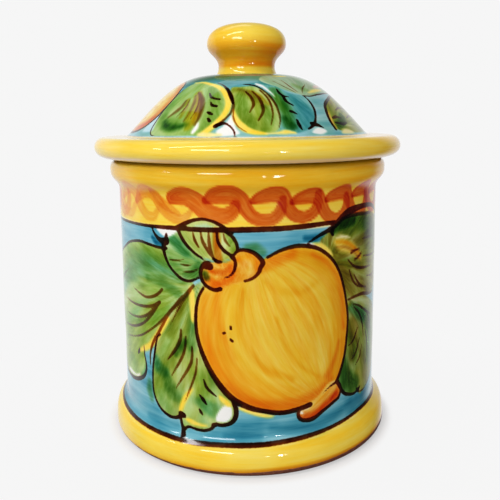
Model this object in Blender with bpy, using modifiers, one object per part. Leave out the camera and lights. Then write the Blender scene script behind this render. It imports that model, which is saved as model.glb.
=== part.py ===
"""Ceramic canister: a thrown and turned jar with a domed, flanged lid.

Three pieces of fired clay, all turned about the Z axis:
  jar_body   floor, wall, rolled rim and foot
  lid        dome, round-edged flange and the collar that drops into the mouth
  lid_knob   knob thrown by itself and set on the crown of the lid

Units are metres, +Z is up, and the origin is the bottom centre of the foot.
Each outline is listed as (radius, height) pairs and is turned by a Screw modifier.
"""

import math

import bpy
from mathutils import Vector

# Resolution of the turned surfaces
JAR_STEPS = 64
KNOB_STEPS = 40
CURVE_POINTS = 6
ROUND_POINTS = 3
DOME_POINTS = 10
KNOB_POINTS = 8

# Length of a curve's handles, as a share of the leg that each one lies on
ROUND_PULL = 0.55
OGEE_PULL = 0.45

# Gap left between pieces that touch
SEAT_GAP = 0.0003

# Jar: wall and floor
JAR_HEIGHT = 0.1148
WALL_RADIUS = 0.0540          # outside, just under the rim
WALL_SPREAD = 0.0011          # the wall leans out by this much down to the foot
WALL_THICKNESS = 0.0055
FLOOR_THICKNESS = 0.0070
FLOOR_FILLET = 0.0060

# Jar: rolled rim
RIM_OVERHANG = 0.0033         # past the wall
RIM_HEIGHT = 0.0123           # from the seat down to the plain wall
RIM_BELLY_DEPTH = 0.0041      # from the seat down to the widest ring
RIM_INNER_ROUND = 0.0018
RIM_CREST_WIDTH = 0.0028      # level band that carries the lid, from the inner round outwards

# Jar: foot
FOOT_HEIGHT = 0.0220          # up to the plain wall
FOOT_SPREAD = 0.0050          # past the bottom of the wall
FOOT_ROLL_HEIGHT = 0.0104     # top of the rolled band
FOOT_ROLL_INSET = 0.0017      # the roll's upper edge lies this far in from its belly
FOOT_ROLL_SLOPE = math.radians(54.0)
FOOT_COVE_PULL = 0.28         # handle above the roll's edge, as a share of the cove's height
FOOT_ROLL_PULL = 0.25         # handle below it, as a share of the roll's height above its belly
FOOT_BELLY_HEIGHT = 0.0040
FOOT_EDGE_ROUND = 0.0012
FOOT_RING_WIDTH = 0.0085
FOOT_RECESS_DEPTH = 0.0025
FOOT_RECESS_SLANT = 0.0008

# Lid: collar inside the mouth
COLLAR_CLEARANCE = 0.0013     # radial, to the mouth
COLLAR_THICKNESS = 0.0045
COLLAR_DEPTH = 0.0090
COLLAR_ROUND = 0.0014

# Lid: flange and dome
FLANGE_OVERHANG = 0.0058      # past the rim
FLANGE_EDGE_HEIGHT = 0.0071   # from the seat to the top of the round edge
FLANGE_BELLY_HEIGHT = 0.0039  # from the seat to the widest ring
FLANGE_EDGE_WIDTH = 0.0046    # radial reach of the round edge
LEDGE_WIDTH = 0.0135          # from the widest ring in to the dome
LEDGE_RISE = 0.0016
DOME_HEIGHT = 0.0235          # from the ledge to the crown
DOME_FOOT_ANGLE = math.radians(45.0)
DOME_FOOT_PULL = 0.0240       # length of the curve's handle at the ledge
DOME_CROWN_PULL = 0.0134      # and at the crown
LID_THICKNESS = 0.0050

# Knob on the crown
KNOB_FOOT_RADIUS = 0.0123
CROWN_MARGIN = 0.0008         # level ring of the crown left round the knob
KNOB_FOOT_HEIGHT = 0.0010
KNOB_NECK_RADIUS = 0.0117
KNOB_NECK_HEIGHT = 0.0036
KNOB_HEAD_RADIUS = 0.0163
KNOB_HEAD_HEIGHT = 0.0125     # of the widest ring
KNOB_HEIGHT = 0.0206

# Colours, linear RGB
JAR_GLAZE = (0.33, 0.42, 0.36)
LID_GLAZE = (0.62, 0.45, 0.10)
KNOB_GLAZE = (0.78, 0.50, 0.06)

# Radii and heights that follow from the sizes above
MOUTH_RADIUS = WALL_RADIUS - WALL_THICKNESS
WALL_FOOT_RADIUS = WALL_RADIUS + WALL_SPREAD
FOOT_RADIUS = WALL_FOOT_RADIUS + FOOT_SPREAD
RIM_RADIUS = WALL_RADIUS + RIM_OVERHANG
FLANGE_RADIUS = RIM_RADIUS + FLANGE_OVERHANG
SEAT_Z = JAR_HEIGHT + SEAT_GAP
LEDGE_Z = SEAT_Z + FLANGE_EDGE_HEIGHT + LEDGE_RISE
CROWN_Z = LEDGE_Z + DOME_HEIGHT
CROWN_RADIUS = KNOB_FOOT_RADIUS + CROWN_MARGIN
KNOB_Z = CROWN_Z + SEAT_GAP


def curve(start, start_handle, end_handle, end, points=CURVE_POINTS):
    """Points of a cubic curve, both ends included."""
    corners = [Vector(corner) for corner in (start, start_handle, end_handle, end)]
    outline = []
    for index in range(points + 1):
        t = index / points
        weights = ((1 - t) ** 3, 3 * t * (1 - t) ** 2, 3 * t * t * (1 - t), t ** 3)
        place = sum((corner * weight for corner, weight in zip(corners, weights)), Vector((0.0, 0.0)))
        outline.append((place.x, place.y))
    return outline


def quarter_round(corner, start, end, points=ROUND_POINTS):
    """Rounds the corner of an outline from start to end, both ends included."""
    handles = [Vector(tip).lerp(Vector(corner), ROUND_PULL) for tip in (start, end)]
    return curve(start, handles[0], handles[1], end, points)


def ogee(start, end, points=CURVE_POINTS):
    """S-shaped run between two upright stretches of an outline, both ends included."""
    reach = OGEE_PULL * (end[1] - start[1])
    return curve(start, (start[0], start[1] + reach), (end[0], end[1] - reach), end, points)


def offset_inward(outline, distance):
    """Moves each point of an outline that climbs towards the axis down along its normal."""
    moved = []
    last = len(outline) - 1
    for index, (radius, height) in enumerate(outline):
        before = Vector(outline[max(index - 1, 0)])
        after = Vector(outline[min(index + 1, last)])
        run = (after - before).normalized()
        moved.append((radius + run.y * -distance, height + run.x * distance))
    return moved


def height_at(outline, radius):
    """Height where an outline that runs towards the axis passes a radius."""
    for (outer, low), (inner, high) in zip(outline, outline[1:]):
        if inner <= radius <= outer:
            share = (outer - radius) / (outer - inner)
            return low + share * (high - low)
    return outline[0][1]


def jar_outline():
    """From the middle of the floor up the inside, over the rim and down the outside."""
    floor_z = FOOT_RECESS_DEPTH + FLOOR_THICKNESS
    inner_foot = WALL_FOOT_RADIUS - WALL_THICKNESS
    crest_start = MOUTH_RADIUS + RIM_INNER_ROUND
    crest_end = crest_start + RIM_CREST_WIDTH
    belly_z = JAR_HEIGHT - RIM_BELLY_DEPTH
    neck_z = JAR_HEIGHT - RIM_HEIGHT
    ring_radius = FOOT_RADIUS - FOOT_EDGE_ROUND - FOOT_RING_WIDTH

    inside = [(0.0, floor_z)]
    inside += quarter_round((inner_foot, floor_z), (inner_foot - FLOOR_FILLET, floor_z),
                            (inner_foot, floor_z + FLOOR_FILLET), 4)
    inside += quarter_round((MOUTH_RADIUS, JAR_HEIGHT), (MOUTH_RADIUS, JAR_HEIGHT - RIM_INNER_ROUND),
                            (crest_start, JAR_HEIGHT))
    rim = quarter_round((RIM_RADIUS, JAR_HEIGHT), (crest_end, JAR_HEIGHT), (RIM_RADIUS, belly_z), 5)
    rim += ogee((RIM_RADIUS, belly_z), (WALL_RADIUS, neck_z))[1:]

    slope = Vector((-math.cos(FOOT_ROLL_SLOPE), math.sin(FOOT_ROLL_SLOPE)))
    roll_edge = Vector((FOOT_RADIUS - FOOT_ROLL_INSET, FOOT_ROLL_HEIGHT))
    cove = FOOT_HEIGHT - FOOT_ROLL_HEIGHT
    roll = FOOT_ROLL_HEIGHT - FOOT_BELLY_HEIGHT
    foot = curve((WALL_FOOT_RADIUS, FOOT_HEIGHT), (WALL_FOOT_RADIUS, FOOT_HEIGHT - OGEE_PULL * cove),
                 roll_edge + slope * (FOOT_COVE_PULL * cove), roll_edge)
    foot += curve(roll_edge, roll_edge - slope * (FOOT_ROLL_PULL * roll),
                  (FOOT_RADIUS, FOOT_BELLY_HEIGHT + OGEE_PULL * roll), (FOOT_RADIUS, FOOT_BELLY_HEIGHT))[1:]
    foot += quarter_round((FOOT_RADIUS, 0.0), (FOOT_RADIUS, FOOT_EDGE_ROUND),
                          (FOOT_RADIUS - FOOT_EDGE_ROUND, 0.0))
    underside = [(ring_radius, 0.0), (ring_radius - FOOT_RECESS_SLANT, FOOT_RECESS_DEPTH),
                 (0.0, FOOT_RECESS_DEPTH)]
    return inside + rim + foot + underside


def dome_outline():
    """Outer curve of the dome, from the ledge of the flange to the level crown."""
    foot_radius = FLANGE_RADIUS - LEDGE_WIDTH
    handle = Vector((-math.cos(DOME_FOOT_ANGLE), math.sin(DOME_FOOT_ANGLE))) * DOME_FOOT_PULL
    return curve((foot_radius, LEDGE_Z), (foot_radius + handle.x, LEDGE_Z + handle.y),
                 (CROWN_RADIUS + DOME_CROWN_PULL, CROWN_Z), (CROWN_RADIUS, CROWN_Z), DOME_POINTS)


def lid_outline():
    """From the crown down the dome, round the flange and the collar and up inside the hollow."""
    dome = dome_outline()
    hollow = offset_inward(dome, LID_THICKNESS)
    collar_outer = MOUTH_RADIUS - COLLAR_CLEARANCE
    collar_inner = collar_outer - COLLAR_THICKNESS
    collar_z = SEAT_Z - COLLAR_DEPTH
    belly_z = SEAT_Z + FLANGE_BELLY_HEIGHT
    edge_z = SEAT_Z + FLANGE_EDGE_HEIGHT
    edge_radius = FLANGE_RADIUS - FLANGE_EDGE_WIDTH

    outside = [(0.0, CROWN_Z)] + dome[::-1]
    outside += quarter_round((FLANGE_RADIUS, edge_z), (edge_radius, edge_z), (FLANGE_RADIUS, belly_z),
                             CURVE_POINTS)
    outside += quarter_round((FLANGE_RADIUS, SEAT_Z), (FLANGE_RADIUS, belly_z), (edge_radius, SEAT_Z),
                             CURVE_POINTS)[1:]
    collar = [(collar_outer, SEAT_Z)]
    collar += quarter_round((collar_outer, collar_z), (collar_outer, collar_z + COLLAR_ROUND),
                            (collar_outer - COLLAR_ROUND, collar_z))
    collar += quarter_round((collar_inner, collar_z), (collar_inner + COLLAR_ROUND, collar_z),
                            (collar_inner, collar_z + COLLAR_ROUND))
    inside = [(collar_inner, height_at(hollow, collar_inner))]
    inside += [point for point in hollow if point[0] < collar_inner]
    inside += [(0.0, CROWN_Z - LID_THICKNESS)]
    return outside + collar + inside


def knob_outline():
    """From the top of the knob down over the head and the neck to its foot."""
    head_z = KNOB_Z + KNOB_HEAD_HEIGHT
    neck_z = KNOB_Z + KNOB_NECK_HEIGHT
    top_z = KNOB_Z + KNOB_HEIGHT
    head = quarter_round((KNOB_HEAD_RADIUS, top_z), (0.0, top_z), (KNOB_HEAD_RADIUS, head_z), KNOB_POINTS)
    neck = ogee((KNOB_HEAD_RADIUS, head_z), (KNOB_NECK_RADIUS, neck_z), KNOB_POINTS)[1:]
    foot = [(KNOB_FOOT_RADIUS, KNOB_Z + KNOB_FOOT_HEIGHT), (KNOB_FOOT_RADIUS, KNOB_Z), (0.0, KNOB_Z)]
    return head + neck + foot


def glaze(name, colour, roughness):
    """Glossy glaze of one colour."""
    material = bpy.data.materials.new(name)
    material.use_nodes = True
    shader = material.node_tree.nodes["Principled BSDF"]
    shader.inputs["Base Color"].default_value = (*colour, 1.0)
    shader.inputs["Roughness"].default_value = roughness
    shader.inputs["Metallic"].default_value = 0.0
    material.diffuse_color = (*colour, 1.0)
    return material


def turned(name, outline, steps, material, collection):
    """Turns an outline about the Z axis into one closed piece."""
    mesh = bpy.data.meshes.new(name)
    edges = [(index, index + 1) for index in range(len(outline) - 1)]
    mesh.from_pydata([(radius, 0.0, height) for radius, height in outline], edges, [])
    mesh.materials.append(material)
    piece = bpy.data.objects.new(name, mesh)
    screw = piece.modifiers.new("turn", "SCREW")
    screw.axis = "Z"
    screw.angle = math.tau
    screw.steps = steps
    screw.render_steps = steps
    screw.use_merge_vertices = True
    screw.merge_threshold = 0.00001
    screw.use_smooth_shade = True
    collection.objects.link(piece)
    return piece


def main():
    for old in list(bpy.data.objects):
        bpy.data.objects.remove(old, do_unlink=True)
    collection = bpy.data.collections.new("ceramic_canister")
    bpy.context.scene.collection.children.link(collection)

    turned("jar_body", jar_outline(), JAR_STEPS, glaze("jar_glaze", JAR_GLAZE, 0.15), collection)
    lid = turned("lid", lid_outline(), JAR_STEPS, glaze("lid_glaze", LID_GLAZE, 0.15), collection)
    knob = turned("lid_knob", knob_outline(), KNOB_STEPS, glaze("knob_glaze", KNOB_GLAZE, 0.15), collection)
    knob.parent = lid


main()
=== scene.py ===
"""Painted earthenware canister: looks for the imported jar, lid and knob.

Each piece of clay is turned again from its own outline, fine enough to carry hand painting.
The painting is laid stroke by stroke on the vertices as pigment thickness, and the shader turns
that thickness into colour on white tin glaze. Sizes are in millimetres until a mesh is made.
Charts: on the wall a place is (millimetres round from the front, height), on the dome it is
(degrees round from the front, millimetres up the slope from the ledge).
FAR stands for nowhere near a line or the glaze's edge, BARE for well inside bare clay.
"""

import logging
import math
from dataclasses import dataclass, field
from enum import Enum
from typing import Callable

import bpy
import numpy as np
from mathutils import Matrix, Vector

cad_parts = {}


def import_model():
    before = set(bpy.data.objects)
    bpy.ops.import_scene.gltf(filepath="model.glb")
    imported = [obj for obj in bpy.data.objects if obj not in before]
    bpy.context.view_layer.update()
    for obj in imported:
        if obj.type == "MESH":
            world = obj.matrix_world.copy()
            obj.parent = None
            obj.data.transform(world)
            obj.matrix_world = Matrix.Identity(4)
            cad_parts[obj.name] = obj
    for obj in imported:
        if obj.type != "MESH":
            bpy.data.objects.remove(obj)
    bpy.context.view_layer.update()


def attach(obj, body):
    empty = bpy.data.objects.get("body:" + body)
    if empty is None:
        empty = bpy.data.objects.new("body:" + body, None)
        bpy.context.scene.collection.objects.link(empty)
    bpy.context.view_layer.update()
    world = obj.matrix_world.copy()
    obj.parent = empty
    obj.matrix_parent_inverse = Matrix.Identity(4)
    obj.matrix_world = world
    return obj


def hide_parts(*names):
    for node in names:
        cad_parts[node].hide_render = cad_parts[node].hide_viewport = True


LOG = logging.getLogger("canister")
MM = 0.001
FAR = 9.0
BARE = -2.0
LINE_REACH = 1.6
LINE_LIMIT = 3.0
WALL_RADIUS = 54.5
MAP_SPLIT = 0.80
CREASE_DEGREES = 38.0
VERTICES_AT_ONCE = 4000
LEVEL_HAIRS = np.array((0.03, 0.03, 0.42))
WHITE_GLAZE = np.array((0.86, 0.855, 0.83))
Pair = tuple[float, float]
Path = tuple[Pair, ...]
Socket = bpy.types.NodeSocket


# Colour

class Paint(Enum):
    """Pigments, each as the sRGB colour of one full coat on the white glaze."""

    AQUA = (88, 160, 180)
    TEAL = (26, 106, 130)
    SKY = (120, 190, 222)
    YELLOW = (244, 210, 70)
    GOLD = (228, 186, 50)
    OCHRE = (224, 158, 38)
    ORANGE = (230, 116, 28)
    RUST = (198, 74, 16)
    LEAF = (112, 150, 58)
    LIME = (172, 186, 62)
    MINT = (150, 196, 130)
    BLUE_GREEN = (62, 140, 118)
    DARK_GREEN = (38, 92, 34)
    OLIVE = (134, 124, 26)
    BROWN = (118, 56, 24)
    TERRACOTTA = (202, 102, 76)
    LINE = (62, 20, 12)

    @property
    def thickness(self) -> np.ndarray:
        """Optical thickness of a full coat in each of the three colour channels."""
        return -np.log(linear(self.value) / WHITE_GLAZE)


def linear(colour: tuple[int, int, int]) -> np.ndarray:
    """Linear light of an sRGB colour given in 0 to 255."""
    share = np.array(colour) / 255.0
    return np.maximum(np.where(share <= 0.04045, share / 12.92, ((share + 0.055) / 1.055) ** 2.4), 0.0012)


# Shapes in the plane

def smooth_step(value: np.ndarray) -> np.ndarray:
    """Eases a value from 0 to 1, held at both ends."""
    share = np.clip(value, 0.0, 1.0)
    return share * share * (3.0 - 2.0 * share)


def within_edge(edge: np.ndarray, soft: float) -> np.ndarray:
    """Eases from 1 inside an edge to 0 outside it, over soft millimetres on both sides."""
    return smooth_step(0.5 - edge / (2 * soft))


def bezier(start: tuple, start_handle: tuple, end_handle: tuple, end: tuple, count: int) -> np.ndarray:
    """Points of a cubic curve.

    Args:
        start: First point, as (radius, height).
        start_handle: Handle of the first point.
        end_handle: Handle of the last point.
        end: Last point.
        count: Number of runs between points.

    Returns:
        An array of count + 1 points.
    """
    t = np.linspace(0.0, 1.0, count + 1)[:, None]
    corners = [np.array(corner, float) for corner in (start, start_handle, end_handle, end)]
    return ((1 - t) ** 3 * corners[0] + 3 * t * (1 - t) ** 2 * corners[1]
            + 3 * t * t * (1 - t) * corners[2] + t ** 3 * corners[3])


def quarter_round(corner: tuple, start: tuple, end: tuple, count: int, pull: float = 0.55) -> np.ndarray:
    """Rounds the corner of an outline from start to end.

    Args:
        corner: The corner that is rounded off.
        start: Where the round begins.
        end: Where it ends.
        count: Number of runs between points.
        pull: How far the handles reach towards the corner.

    Returns:
        The points of the round, both ends included.
    """
    handles = [np.array(tip, float) * (1 - pull) + np.array(corner, float) * pull for tip in (start, end)]
    return bezier(start, handles[0], handles[1], end, count)


def ogee(start: tuple, end: tuple, count: int, pull: float = 0.45) -> np.ndarray:
    """S-shaped run between two upright stretches of an outline.

    Args:
        start: First point.
        end: Last point.
        count: Number of runs between points.
        pull: Length of the upright handles, as a share of the height between the ends.

    Returns:
        The points of the run, both ends included.
    """
    reach = pull * (end[1] - start[1])
    return bezier(start, (start[0], start[1] + reach), (end[0], end[1] - reach), end, count)


def straight(start: tuple, end: tuple, count: int) -> np.ndarray:
    """Evenly spaced points of a straight run, both ends included."""
    return np.linspace(start, end, count + 1)


def chain(*runs: np.ndarray) -> np.ndarray:
    """Joins runs of an outline, each of which begins where the one before it ends."""
    return np.concatenate([runs[0], *(run[1:] for run in runs[1:])])


def round_axis(radius: np.ndarray | float, turn: np.ndarray, height: np.ndarray) -> np.ndarray:
    """Points in space of places on a turned piece, with the front at -Y."""
    return np.stack([radius * np.sin(turn), -radius * np.cos(turn), height], axis=1)


def arc_length(points: np.ndarray) -> np.ndarray:
    """Distance along a row of points, from the first to each one."""
    return np.concatenate([[0.0], np.cumsum(np.linalg.norm(np.diff(points, axis=0), axis=1))])


def even(points: np.ndarray, spacing: float) -> np.ndarray:
    """Places points at an even spacing along a curve.

    Args:
        points: The curve.
        spacing: Wanted distance between points.

    Returns:
        New points on the same curve, both ends included.
    """
    run = arc_length(points)
    stations = np.linspace(0.0, run[-1], max(int(round(run[-1] / spacing)), 1) + 1)
    return np.stack([np.interp(stations, run, points[:, axis]) for axis in range(points.shape[1])], axis=1)


def flowing(path: Path, closed: bool = False, steps: int = 7) -> np.ndarray:
    """Draws a smooth curve through the points that are marked out.

    Args:
        path: The marked points.
        closed: Whether the curve runs back to its first point.
        steps: Number of runs between two marked points.

    Returns:
        The points of the curve.
    """
    marks = np.array(path, float)
    if len(marks) < 3 and not closed:
        return even(marks, 0.8)
    if closed:
        padded = np.concatenate([marks[-1:], marks, marks[:2]])
    else:
        padded = np.concatenate([2 * marks[:1] - marks[1:2], marks, 2 * marks[-1:] - marks[-2:-1]])
    t = np.linspace(0.0, 1.0, steps, endpoint=False)[:, None]
    runs = []
    for before, start, end, after in zip(padded, padded[1:], padded[2:], padded[3:]):
        square = 2 * before - 5 * start + 4 * end - after
        cube = 3 * start - before - 3 * end + after
        runs.append(0.5 * (2 * start + (end - before) * t + square * t ** 2 + cube * t ** 3))
    runs.append(marks[:1] if closed else marks[-1:])
    return np.concatenate(runs)


# Noise

def lattice(corner: np.ndarray, seed: int) -> np.ndarray:
    """Repeatable random value between 0 and 1 for each whole-numbered corner."""
    mixed = (corner[..., 0] * 374761393 + corner[..., 1] * 668265263 + corner[..., 2] * 1274126177
             + seed * 974634777) & 0xFFFFFFFF
    mixed = ((mixed ^ (mixed >> 13)) * 1103515245) & 0xFFFFFFFF
    return ((mixed ^ (mixed >> 16)) & 0xFFFF) / 65535.0


def streaks(place: np.ndarray, seed: int, around: float, up: float) -> np.ndarray:
    """Noise in level streaks, around millimetres long and up millimetres high."""
    return noise(place * np.array((1 / around, 1 / around, 1 / up)), seed)


def noise(place: np.ndarray, seed: int, octaves: int = 2) -> np.ndarray:
    """Smooth noise between about 0 and 1.

    Args:
        place: Points in three dimensions, scaled so that one unit is one blob.
        seed: Number of the pattern.
        octaves: How many layers, each half as large, are added.

    Returns:
        One value for each point.
    """
    total = np.zeros(len(place))
    weight = 0.0
    for octave in range(octaves):
        scaled = place * 2.0 ** octave + 31.7 * octave
        base = np.floor(scaled).astype(np.int64)
        share = smooth_step(scaled - base)
        layer = np.zeros(len(place))
        for step in np.ndindex(2, 2, 2):
            corner = lattice(base + np.array(step), seed + octave)
            near = np.abs(1 - np.array(step) - share)
            layer += corner * (near[:, 0] * near[:, 1] * near[:, 2])
        total += layer * 0.5 ** octave
        weight += 0.5 ** octave
    return total / weight


# Turning

@dataclass(frozen=True)
class Patch:
    """Rectangle of the bake map that a band of the outline is laid out in."""

    left: float
    low: float
    width: float
    height: float
    strips: int = 1

    def corners(self, share: np.ndarray, rise: np.ndarray, strip: np.ndarray) -> np.ndarray:
        """Places face corners in the rectangle.

        Args:
            share: How far round the turn each corner is, 0 to 1.
            rise: How far across the band each corner is, 0 to 1.
            strip: Which of the strips the corner's face lies in.

        Returns:
            Map coordinates, one pair for each corner.
        """
        margin = 0.012
        lane = self.height / self.strips
        u = self.left + margin + (self.width - 2 * margin) * (share * self.strips - strip)
        v = self.low + lane * strip + margin + (lane - 2 * margin) * rise
        return np.stack([u, v], axis=-1)


@dataclass(frozen=True)
class Band:
    """A stretch of a turned outline with one number of columns.

    Its first point is the last point of the band before it.
    """

    name: str
    points: np.ndarray
    columns: int
    patch: Patch


@dataclass
class Turning:
    """An outline turned about the Z axis into one closed mesh."""

    name: str
    bands: list[Band]
    radius: np.ndarray = field(init=False)
    height: np.ndarray = field(init=False)
    angle: np.ndarray = field(init=False)
    run: np.ndarray = field(init=False)
    band: np.ndarray = field(init=False)
    faces: list = field(init=False, default_factory=list)
    layout: list = field(init=False, default_factory=list)

    def __post_init__(self) -> None:
        """Lays out the vertices course by course and joins the courses with faces."""
        columns, radius, height, angle, run, band = [], [], [], [], [], []
        starts, total, travelled = [], 0, 0.0
        before = None
        for number, stretch in enumerate(self.bands):
            points = stretch.points if before is None else stretch.points[1:]
            for r, z in points:
                count = 1 if r < 1e-6 else stretch.columns
                travelled += 0.0 if before is None else math.hypot(r - before[0], z - before[1])
                before = (r, z)
                starts.append(total)
                columns.append(count)
                total += count
                radius.append(np.full(count, r))
                height.append(np.full(count, z))
                angle.append(np.arange(count) * math.tau / count)
                run.append(np.full(count, travelled))
                band.append(np.full(count, number))
        self.radius, self.height = np.concatenate(radius), np.concatenate(height)
        self.angle, self.run = np.concatenate(angle), np.concatenate(run)
        self.band = np.concatenate(band)
        course_run = np.array([piece[0] for piece in run])
        course_band = np.array([piece[0] for piece in band])
        for course in range(len(starts) - 1):
            stretch = self.bands[course_band[course + 1]]
            inside = np.flatnonzero(course_band == course_band[course + 1])
            low = course_run[max(inside[0] - 1, 0)]
            high = course_run[inside[-1]]
            rise = ((course_run[course] - low) / (high - low), (course_run[course + 1] - low) / (high - low))
            self.join(starts[course], columns[course], starts[course + 1], columns[course + 1], rise,
                      stretch.patch)

    def join(self, low: int, low_count: int, high: int, high_count: int, rise: Pair,
             patch: Patch) -> None:
        """Joins two neighbouring courses with faces.

        Args:
            low: First vertex of the earlier course.
            low_count: Number of its columns.
            high: First vertex of the later course.
            high_count: Number of its columns.
            rise: Places of the two courses across the band, 0 to 1.
            patch: Rectangle of the bake map for these faces.
        """
        coarse = min(low_count, high_count)
        if coarse == 1:
            fine = max(low_count, high_count)
            j = np.arange(fine)
            pole, rim, up = (low, high, rise) if low_count == 1 else (high, low, rise[::-1])
            corners = [(np.full(fine, pole), (j + 0.5) / fine, up[0]), (rim + j, j / fine, up[1]),
                       (rim + (j + 1) % fine, (j + 1) / fine, up[1])]
            if low_count != 1:
                corners = [corners[0], corners[2], corners[1]]
            self.add(corners, j / fine, patch)
            return
        j = np.arange(coarse)
        if low_count == high_count:
            corners = [(low + j, j / coarse, rise[0]), (high + j, j / coarse, rise[1]),
                       (high + (j + 1) % coarse, (j + 1) / coarse, rise[1]),
                       (low + (j + 1) % coarse, (j + 1) / coarse, rise[0])]
            self.add(corners, j / coarse, patch)
            return
        fine = max(low_count, high_count)
        ratio = fine // coarse
        flip = low_count > high_count
        wide, wide_up = (high, rise[1]) if flip else (low, rise[0])
        close, close_up = (low, rise[0]) if flip else (high, rise[1])
        left = (wide + j, j / coarse, wide_up)
        right = (wide + (j + 1) % coarse, (j + 1) / coarse, wide_up)
        for step in range(ratio):
            k = j * ratio + step
            near, far = (close + k, k / fine, close_up), (close + (k + 1) % fine, (k + 1) / fine, close_up)
            own = left if step < ratio / 2 else right
            corners = [own, near, far]
            self.add(corners[::-1] if flip else corners, j / coarse, patch)
            if step + 1 == ratio // 2:
                corners = [left, far, right]
                self.add(corners[::-1] if flip else corners, j / coarse, patch)

    def add(self, corners: list, share: np.ndarray, patch: Patch) -> None:
        """Keeps one ring of faces and its corners in the bake map.

        Args:
            corners: For each corner, its vertices, its share of the turn and its rise.
            share: Share of the turn at which each face begins.
            patch: Rectangle of the bake map for these faces.
        """
        strip = np.minimum((share * patch.strips + 1e-9).astype(int), patch.strips - 1)
        self.faces.append(np.stack([vertices for vertices, _, _ in corners], axis=1))
        self.layout.append(np.stack([patch.corners(turn, np.full(len(share), up), strip)
                                     for _, turn, up in corners], axis=1))

    @property
    def place(self) -> np.ndarray:
        """Vertices in millimetres."""
        return round_axis(self.radius, self.angle, self.height)

    def hand(self, depth: float, size: float, seed: int, held: Callable[[np.ndarray], np.ndarray]) -> None:
        """Makes the turned surface slightly uneven, always inwards.

        Args:
            depth: Deepest hollow in millimetres.
            size: Size of one swell in millimetres.
            seed: Number of the pattern.
            held: Gives 0 where a height has to stay exact and 1 elsewhere.
        """
        place = self.place / size
        place[:, 2] *= 1.6
        hollow = smooth_step(noise(place, seed)) * depth * held(self.height)
        self.radius = np.where(self.radius > 1.0, self.radius - hollow, self.radius)

    def mesh(self) -> bpy.types.Object:
        """Makes the Blender object.

        Returns:
            The piece, smooth shaded, with its bake map.
        """
        faces = [face for ring in self.faces for face in ring.tolist()]
        mesh = bpy.data.meshes.new(self.name)
        mesh.from_pydata((self.place * MM).tolist(), [], faces)
        layer = mesh.uv_layers.new(name="OFBake")
        layout = np.concatenate([ring.reshape(-1, 2) for ring in self.layout])
        layer.data.foreach_set("uv", layout.astype(np.float32).ravel())
        mesh.shade_smooth()
        mesh.set_sharp_from_angle(angle=math.radians(CREASE_DEGREES))
        piece = bpy.data.objects.new(self.name, mesh)
        bpy.context.scene.collection.objects.link(piece)
        return piece


# Painting

class Flow(Enum):
    """How the hairs of the brush run across a field."""

    FAN = "fan"
    RING = "ring"
    MERIDIAN = "meridian"


class Canvas:
    """Pigment on the vertices of one surface.

    wash is the optical thickness of the pigments, line and vein are distances in millimetres to the
    edge of the nearest dark and brown stroke, negative inside it, and brush places each vertex
    along and across the hairs of the brush.
    """

    def __init__(self, chart: np.ndarray, lift: Callable[[np.ndarray], np.ndarray], span: float,
                 reach: Pair) -> None:
        """Starts with bare white glaze.

        Args:
            chart: Place of each vertex on the chart of the surface.
            lift: Turns chart places into points in space, in millimetres.
            span: Length of one whole turn on the chart.
            reach: Chart distances along both axes that hold at least one millimetre.
        """
        self.chart = chart
        self.lift = lift
        self.span = span
        self.reach = np.array(reach)
        count = len(chart)
        self.place = lift(chart)
        self.wash = np.zeros((count, 3))
        self.line = np.full(count, FAR)
        self.vein = np.full(count, FAR)
        self.brush = self.place * LEVEL_HAIRS

    def coat(self, paint: Paint, amount: np.ndarray) -> None:
        """Adds an amount of one pigment, counted in full coats, to every vertex."""
        self.wash += amount[:, None] * paint.thickness

    def seen_from(self, turn: float, sway: float = 0.0, seed: int = 0) -> "View":
        """The canvas with another place at the front, for painting a motif there."""
        return View(self, turn, sway, seed)


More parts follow.
